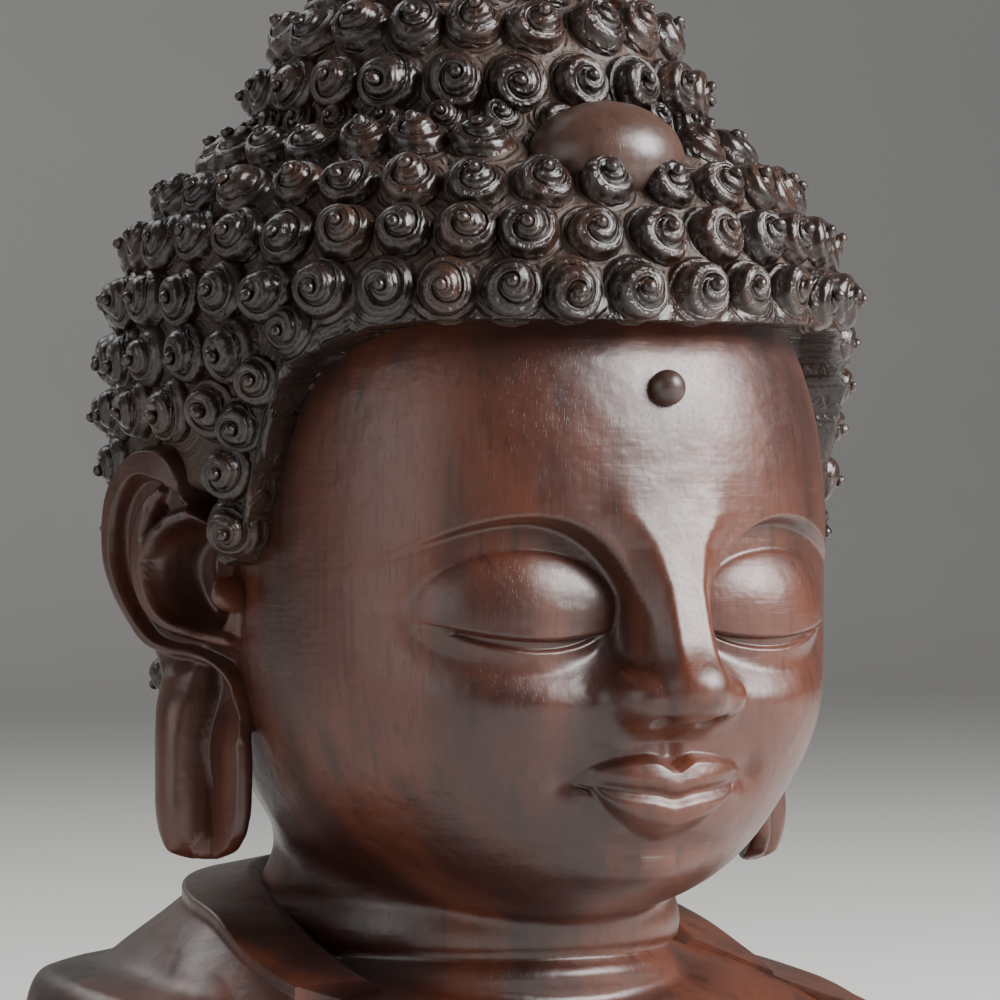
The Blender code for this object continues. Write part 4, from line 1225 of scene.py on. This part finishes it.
@dataclass
class DrapedRobe:
    """Robe over both shoulders with its broad collar band and slanting hems."""

    left: ShoulderGuide = LEFT_SHOULDER
    right: ShoulderGuide = RIGHT_SHOULDER
    columns: int = 330
    rows: int = 150
    middle: float = -0.6
    inside: float = 3.4
    foot: float = -0.6
    collar_wall: float = 1.1
    band_edge: float = 0.27
    fold_depth: float = 0.045
    end_share: float = 0.012
    taps: int = 9

    def read(self, row: int, column: int, angle: Array) -> Array:
        """Read a guide row on whichever side an angle is.

        Args:
            row: Number of the row, from the hem down.
            column: 0 for the radius, 1 for the height.
            angle: Degrees around the body.

        Returns:
            The radius or height at each angle.
        """
        left = self.left.read(row, column, np.minimum(angle, 180.0))
        right = self.right.read(row, column, np.minimum(360.0 - angle, 180.0))
        return np.where(angle <= 180.0, left, right)

    def stations(self, angles: Array) -> tuple[Array, Array]:
        """Radius and height of the guide rows of the section.

        Args:
            angles: Degrees around the body, one row a station.

        Returns:
            Radii and heights, one row a station.
        """
        radii, heights = ([self.read(row, i, angles[row + 1]) for row in range(7)] for i in range(2))
        inner = radii[0] * 0.0 + self.inside
        wall = self.read(0, 1, angles[0]) - self.collar_wall
        return np.stack([inner, *radii, inner]), np.stack([wall, *heights, inner * 0.0 + self.foot])

    def folds(self, angle: Array, share: Array) -> Array:
        """Shallow folds that run slanting down the shoulder from under the collar band.

        Args:
            angle: Degrees around the body.
            share: Share of the way around the section.

        Returns:
            Height of the folds.
        """
        away = np.minimum(angle, 360.0 - angle)
        slant = away + 62.0 * (share - self.band_edge)
        wave = np.sin(np.radians(slant * 9.5)) + 0.5 * np.sin(np.radians(slant * 17.0 + 40.0))
        crest = np.abs(wave) ** 0.8 * np.sign(wave)
        hem = np.where(angle <= 180.0, self.left.hem - 6.0, self.right.hem)
        on_shoulder = smooth(0.35, 0.46, share) * smooth(0.90, 0.72, share)
        return self.fold_depth * crest * on_shoulder * smooth(2.0, 14.0, away - hem)

    def surface(self, turn: Array, share: Array) -> Array:
        """Band, step and shoulder of the robe around the body.

        Args:
            turn: Share of the way around, from the left hem to the right one.
            share: Share of the way around the section.

        Returns:
            Points of the drawing.
        """
        stops = np.array([0.0, 0.10, self.band_edge, 0.315, 0.50, 0.64, 0.80, 0.93, 1.0])
        set_back = np.array([0.0, 0.0, 0.9, 0.9, 1.0, 1.0, 1.0, 1.0, 0.0])[:, None]
        along = np.clip((turn - self.end_share) / (1.0 - 2.0 * self.end_share), 0.0, 1.0)[None]
        start = self.left.hem + self.left.slant * set_back
        end = 360.0 - self.right.hem - self.right.slant * set_back
        angles = start + (end - start) * along
        radii, heights = self.stations(angles)
        turned = np.radians(angles)
        corners = np.stack([radii * np.sin(turned), self.middle + radii * np.cos(turned), heights], -1)
        pick = np.arange(len(share))
        marks = [0.0, 0.10, 0.315, 0.42, 0.9, 1.0]
        reach = np.interp(share, marks, [0.004, 0.008, 0.008, 0.035, 0.035, 0.004])
        total = np.zeros((len(share), 3))
        for tap in np.linspace(-1.0, 1.0, self.taps):
            at = np.clip(share + tap * reach, 0.0, 1.0)
            cell = np.clip(np.searchsorted(stops, at, side="right") - 1, 0, len(stops) - 2)
            part = ((at - stops[cell]) / (stops[cell + 1] - stops[cell]))[:, None]
            total += corners[cell, pick] * (1.0 - part) + corners[cell + 1, pick] * part
        point = total / self.taps
        nearest = np.clip(np.round(np.interp(share, stops, np.arange(9.0))).astype(int), 0, 8)
        angle = angles[nearest, pick]
        way = np.radians(angle)
        rise = self.folds(angle, share)[:, None]
        point = point + rise * np.stack([np.sin(way) * 0.8, np.cos(way) * 0.8, 0.6 + 0.0 * way], -1)
        cap = np.clip(np.minimum(turn, 1.0 - turn) / self.end_share, 0.0, 1.0)[:, None]
        return corners[0] + (point - corners[0]) * cap

    def build(self, material: bpy.types.Material) -> bpy.types.Object:
        """Carve the robe and cut it flat below.

        Args:
            material: Its finish.

        Returns:
            The piece.
        """
        sheet = carved_sheet(self.columns, self.rows, self.surface)
        cut_flat(sheet, 0.0)
        return present("draped_robe", sheet, material, 38.0)


class Thread:
    """A value on its way through a finish, which takes part in ordinary arithmetic."""

    def __init__(self, bench: "FinishBench", socket: bpy.types.NodeSocket) -> None:
        """Hold a value.

        Args:
            bench: Node tree that it belongs to.
            socket: Output that gives it.
        """
        self.bench = bench
        self.socket = socket

    def combine(self, operation: str, first: "Thread | float", second: "Thread | float") -> "Thread":
        """Add one Math node.

        Args:
            operation: What it does.
            first: First value.
            second: Second value.

        Returns:
            The result.
        """
        return self.bench.add("ShaderNodeMath", {"operation": operation}, {0: first, 1: second})

    def __add__(self, other: "Thread | float") -> "Thread":
        """Sum."""
        return self.combine("ADD", self, other)

    def __radd__(self, other: float) -> "Thread":
        """Sum, value on the right."""
        return self.combine("ADD", other, self)

    def __sub__(self, other: "Thread | float") -> "Thread":
        """Difference."""
        return self.combine("SUBTRACT", self, other)

    def __rsub__(self, other: float) -> "Thread":
        """Difference, value on the right."""
        return self.combine("SUBTRACT", other, self)

    def __mul__(self, other: "Thread | float") -> "Thread":
        """Product."""
        return self.combine("MULTIPLY", self, other)

    def __rmul__(self, other: float) -> "Thread":
        """Product, value on the right."""
        return self.combine("MULTIPLY", other, self)

    def wave(self) -> "Thread":
        """Sine."""
        return self.bench.add("ShaderNodeMath", {"operation": "SINE"}, {0: self})

    def step(self, low: float, high: float) -> "Thread":
        """Ease from 0 at low to 1 at high."""
        values = {"Value": self, "From Min": low, "From Max": high}
        return self.bench.add("ShaderNodeMapRange", {"interpolation_type": "SMOOTHSTEP"}, values)


class FinishBench:
    """Node tree of one finish and the ways to add to it."""

    def __init__(self, name: str) -> None:
        """Start an empty finish.

        Args:
            name: Name of the material.
        """
        self.material = bpy.data.materials.new(name)
        self.material.use_nodes = True
        self.tree = self.material.node_tree
        self.shader = self.tree.nodes["Principled BSDF"]

    def add(self, kind: str, settings: dict, values: dict, out: int | str = 0) -> Thread:
        """Add one node.

        Args:
            kind: Type of the node.
            settings: Its settings, which are set first.
            values: Values or threads for its sockets, by name or number.
            out: Name or number of the output that is wanted.

        Returns:
            That output.
        """
        node = self.tree.nodes.new(kind)
        for key, value in settings.items():
            setattr(node, key, value)
        for key, value in values.items():
            self.feed(node.inputs[key], value)
        return Thread(self, node.outputs[out])

    def feed(self, socket: bpy.types.NodeSocket, value: object) -> None:
        """Link a thread to a socket, or set a plain value on it.

        Args:
            socket: The socket.
            value: The thread or plain value.
        """
        if isinstance(value, Thread):
            self.tree.links.new(value.socket, socket)
        else:
            socket.default_value = value

    def dress(self, values: dict[str, object]) -> bpy.types.Material:
        """Feed the shader.

        Args:
            values: Values or threads for its sockets, by name.

        Returns:
            The finished material.
        """
        for name, value in values.items():
            self.feed(self.shader.inputs[name], value)
        return self.material

    def place(self) -> Thread:
        """Place on the piece, in metres."""
        return self.add("ShaderNodeTexCoord", {}, {}, "Object")

    def noise(self, where: Thread, scale: Place, detail: float, warp: float = 0.0) -> Thread:
        """Noise that is stretched along the axes.

        Args:
            where: Place.
            scale: Cells for each metre along x, y and z.
            detail: Levels of finer noise.
            warp: Distortion.

        Returns:
            A value around one half.
        """
        spread = self.add("ShaderNodeVectorMath", {"operation": "MULTIPLY"}, {0: where, 1: scale})
        values = {"Vector": spread, "Scale": 1.0, "Detail": detail, "Distortion": warp}
        return self.add("ShaderNodeTexNoise", {}, values)

    def blend(self, share: Thread | float, first: object, second: object) -> Thread:
        """Mix two colours.

        Args:
            share: How much of the second.
            first: Colour or thread.
            second: Colour or thread.

        Returns:
            The mixed colour.
        """
        return self.add("ShaderNodeMix", {"data_type": "RGBA"}, {0: share, 6: first, 7: second}, 2)

    def relief(self, height: Thread, depth: float, under: Thread | None = None) -> Thread:
        """Bump from a height.

        Args:
            height: Height from 0 to 1.
            depth: What 1 stands for, in metres.
            under: Bump below it.

        Returns:
            The surface direction.
        """
        values = {"Height": height, "Distance": depth, "Strength": 1.0}
        if under is not None:
            values["Normal"] = under
        return self.add("ShaderNodeBump", {}, values)


@dataclass(frozen=True)
class PolishedRosewood:
    """Skin and cloth: red-brown wood with upright grain, open pores and a satin polish."""

    name: str = "polished_rosewood"
    dark: Colour = (0.012, 0.0050, 0.0040, 1.0)
    body: Colour = (0.036, 0.0092, 0.0055, 1.0)
    glow: Colour = (0.108, 0.0275, 0.0115, 1.0)
    knife_marks: float = 1.0

    def make(self) -> bpy.types.Material:
        """Build the finish.

        Returns:
            The material.
        """
        bench = FinishBench(self.name)
        where = bench.place()
        broad = bench.noise(where, (34.0, 34.0, 7.0), 2.0, 0.6)
        figure = bench.noise(where, (170.0, 170.0, 5.0), 3.0, 0.25)
        streak = bench.noise(where, (640.0, 640.0, 12.0), 3.0)
        pore = bench.noise(where, (3000.0, 3000.0, 110.0), 1.0)
        colour = bench.blend(broad.step(0.36, 0.68), self.body, self.glow)
        colour = bench.blend(figure.step(0.50, 0.78) * 0.55, colour, self.dark)
        colour = bench.blend(streak.step(0.50, 0.75) * 0.50, colour, self.dark)
        pores = pore.step(0.62, 0.72)
        colour = bench.blend(pores * 0.30, colour, self.dark)
        worked = bench.noise(where, (20.0, 20.0, 26.0), 1.0).step(0.42, 0.60)
        marks = bench.noise(where, (52.0, 52.0, 640.0), 3.0, 0.5) * (0.25 + 0.75 * worked)
        facet = bench.noise(where, (170.0, 170.0, 230.0), 2.0)
        smudge = bench.noise(where, (210.0, 210.0, 210.0), 3.0)
        low = bench.relief(facet, 0.00040)
        fine = bench.relief(marks * self.knife_marks, 0.00013, low)
        return bench.dress({
            "Base Color": colour,
            "Roughness": 0.28 + 0.26 * smudge + 0.08 * pores,
            "Normal": bench.relief(1.0 - pores * 0.25 - streak * 0.6, 0.00008, fine),
            "Coat Weight": 0.50,
            "Coat Roughness": 0.34,
            "Specular IOR Level": 0.5,
        })


@dataclass(frozen=True)
class DarkHairwood:
    """Hair: nearly black wood, glossy on the crests and dull brown in the valleys; the band by the hairline
    edge is left dark as painted shade.
    """

    name: str = "dark_hairwood"
    crest: Colour = (0.017, 0.0085, 0.0062, 1.0)
    warm: Colour = (0.046, 0.0200, 0.0125, 1.0)
    valley: Colour = (0.090, 0.0580, 0.0420, 1.0)

    def make(self) -> bpy.types.Material:
        """Build the finish.

        Returns:
            The material.
        """
        bench = FinishBench(self.name)
        where = bench.place()
        depth = bench.add("ShaderNodeAttribute", {"attribute_name": "valley"}, {}, "Fac")
        whorl = bench.add("ShaderNodeAttribute", {"attribute_name": "whorl"}, {}, "Fac")
        patch = bench.noise(where, (70.0, 70.0, 50.0), 3.0, 0.5)
        grain = bench.noise(where, (500.0, 500.0, 30.0), 3.0)
        cut = bench.noise(where, (420.0, 420.0, 420.0), 3.0, 0.8)
        gouge = 0.5 + 0.5 * (2.0 * math.pi * (whorl + 0.5 * cut)).wave()
        colour = bench.blend(patch.step(0.42, 0.66), self.crest, self.warm)
        colour = bench.blend(grain.step(0.48, 0.75) * 0.5, colour, self.crest)
        # Dull brown goes into the hollows by the valley attribute; along the hairline band that attribute
        # is 0, which paints shade there with the crest colour.
        colour = bench.blend(depth * (0.25 + 0.50 * patch + 0.25 * gouge), colour, self.valley)
        low = bench.relief(cut, 0.00055)
        lines = bench.relief(gouge * (0.80 + 0.20 * depth), 0.00055, low)
        return bench.dress({
            "Base Color": colour,
            "Roughness": 0.26 + 0.16 * cut + 0.34 * depth,
            "Normal": bench.relief(grain, 0.00010, lines),
            "Coat Weight": 0.55 - 0.45 * depth,
            "Coat Roughness": 0.17,
        })


@dataclass
class Studio:
    """Pale floor, soft light and the camera at the photograph's angle."""

    azimuth: float = -28.0
    distance: float = 1.0
    lens: float = 180.0
    target: Place = (0.0, 0.0, 0.135)
    shift: float = 0.015
    world_light: float = 0.17
    floor_near: float = -5.0
    floor_far: float = 2.2
    floor_bend: float = 1.2
    wall_rise: float = 3.2
    floor_width: float = 12.0

    def aim(self, thing: bpy.types.Object, way: Vector) -> None:
        """Turn a lamp or a camera to look along a direction."""
        thing.rotation_mode = "QUATERNION"
        thing.rotation_quaternion = way.to_track_quat("-Z", "Y")

    def camera(self) -> None:
        """Set the camera."""
        data = bpy.data.cameras.new("camera")
        camera = set_out("camera", data)
        turn = math.radians(self.azimuth)
        back = Vector((math.sin(turn), -math.cos(turn), 0.0))
        camera.location = Vector(self.target) + back * self.distance
        self.aim(camera, -back)
        data.lens = self.lens
        data.shift_x = self.shift
        bpy.context.scene.camera = camera

    def light(self, name: str, place: Place, size: float, power: float) -> None:
        """Hang one soft lamp that looks at the head.

        Args:
            name: Name of the lamp.
            place: Where it hangs.
            size: Side of its square.
            power: Watts.
        """
        data = bpy.data.lights.new(name, "AREA")
        data.size = size
        data.energy = power
        lamp = set_out(name, data)
        lamp.location = place
        self.aim(lamp, Vector(self.target) - Vector(place))

    def sweep(self) -> None:
        """Lay the pale floor, which curves up behind into the backdrop."""
        sheet = blank_sheet(1, 60)
        level = self.floor_far - self.floor_near
        bend = self.floor_bend
        quarter = bend * math.pi / 2.0
        for vertex in sheet.verts:
            along = vertex.co.y * (level + quarter + self.wall_rise) - level
            turn = min(max(along / bend, 0.0), math.pi / 2.0)
            depth = self.floor_far + min(along, 0.0) + bend * math.sin(turn)
            rise = bend * (1.0 - math.cos(turn)) + max(along - quarter, 0.0)
            vertex.co = ((vertex.co.x - 0.5) * self.floor_width, depth, rise)
        bmesh.ops.recalc_face_normals(sheet, faces=sheet.faces)
        bench = FinishBench("pale_paper")
        mottle = bench.noise(bench.place(), (3.0, 3.0, 3.0), 2.0)
        paper = bench.dress({
            "Base Color": bench.blend(mottle, (0.76, 0.75, 0.73, 1.0), (0.82, 0.81, 0.79, 1.0)),
            "Roughness": 0.9,
            "Specular IOR Level": 0.2,
        })
        floor = set_out("floor", finished_mesh("floor", sheet, paper))

    def build(self) -> None:
        """Set up floor, light and camera."""
        self.camera()
        self.sweep()
        self.light("key", (0.68, -0.82, 0.76), 0.70, 38.0)
        self.light("sheen", (-1.10, -0.15, 0.40), 0.80, 3.2)
        self.light("crest", (-0.2, 0.9, 1.0), 0.6, 3.0)
        world = bpy.data.worlds.new("world")
        world.use_nodes = True
        sky = world.node_tree.nodes["Background"]
        sky.inputs["Color"].default_value = (0.8, 0.8, 0.8, 1.0)
        sky.inputs["Strength"].default_value = self.world_light
        bpy.context.scene.world = world


def main() -> None:
    """Build every part of the bust in order and note its size."""
    logging.basicConfig(level=logging.INFO, format="%(message)s")
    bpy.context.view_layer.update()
    skin = PolishedRosewood().make()
    hair = DarkHairwood().make()
    dark, body, glow = (0.016, 0.008, 0.006, 1.0), (0.040, 0.019, 0.013, 1.0), (0.075, 0.034, 0.022, 1.0)
    gem = PolishedRosewood("polished_darkwood", dark, body, glow, 0.4).make()
    scalp = Scalp()
    CarvedFlesh().build(skin)
    HairCap(scalp).build(hair)
    for zone in CurlZone:
        SnailCurls(scalp, zone).build(hair)
    SmoothBoss("crown_jewel", (0.0, 5.38, 21.58), (1.66, 1.55, 1.24)).build(gem)
    SmoothBoss("brow_bead", (0.0, 7.92, 16.85), (0.37, 0.37, 0.37)).build(gem)
    for hand in Hand:
        LongEar(hand).build(skin)
    DrapedRobe().build(skin)
    Studio().build()


if __name__ == "__main__":
    main()
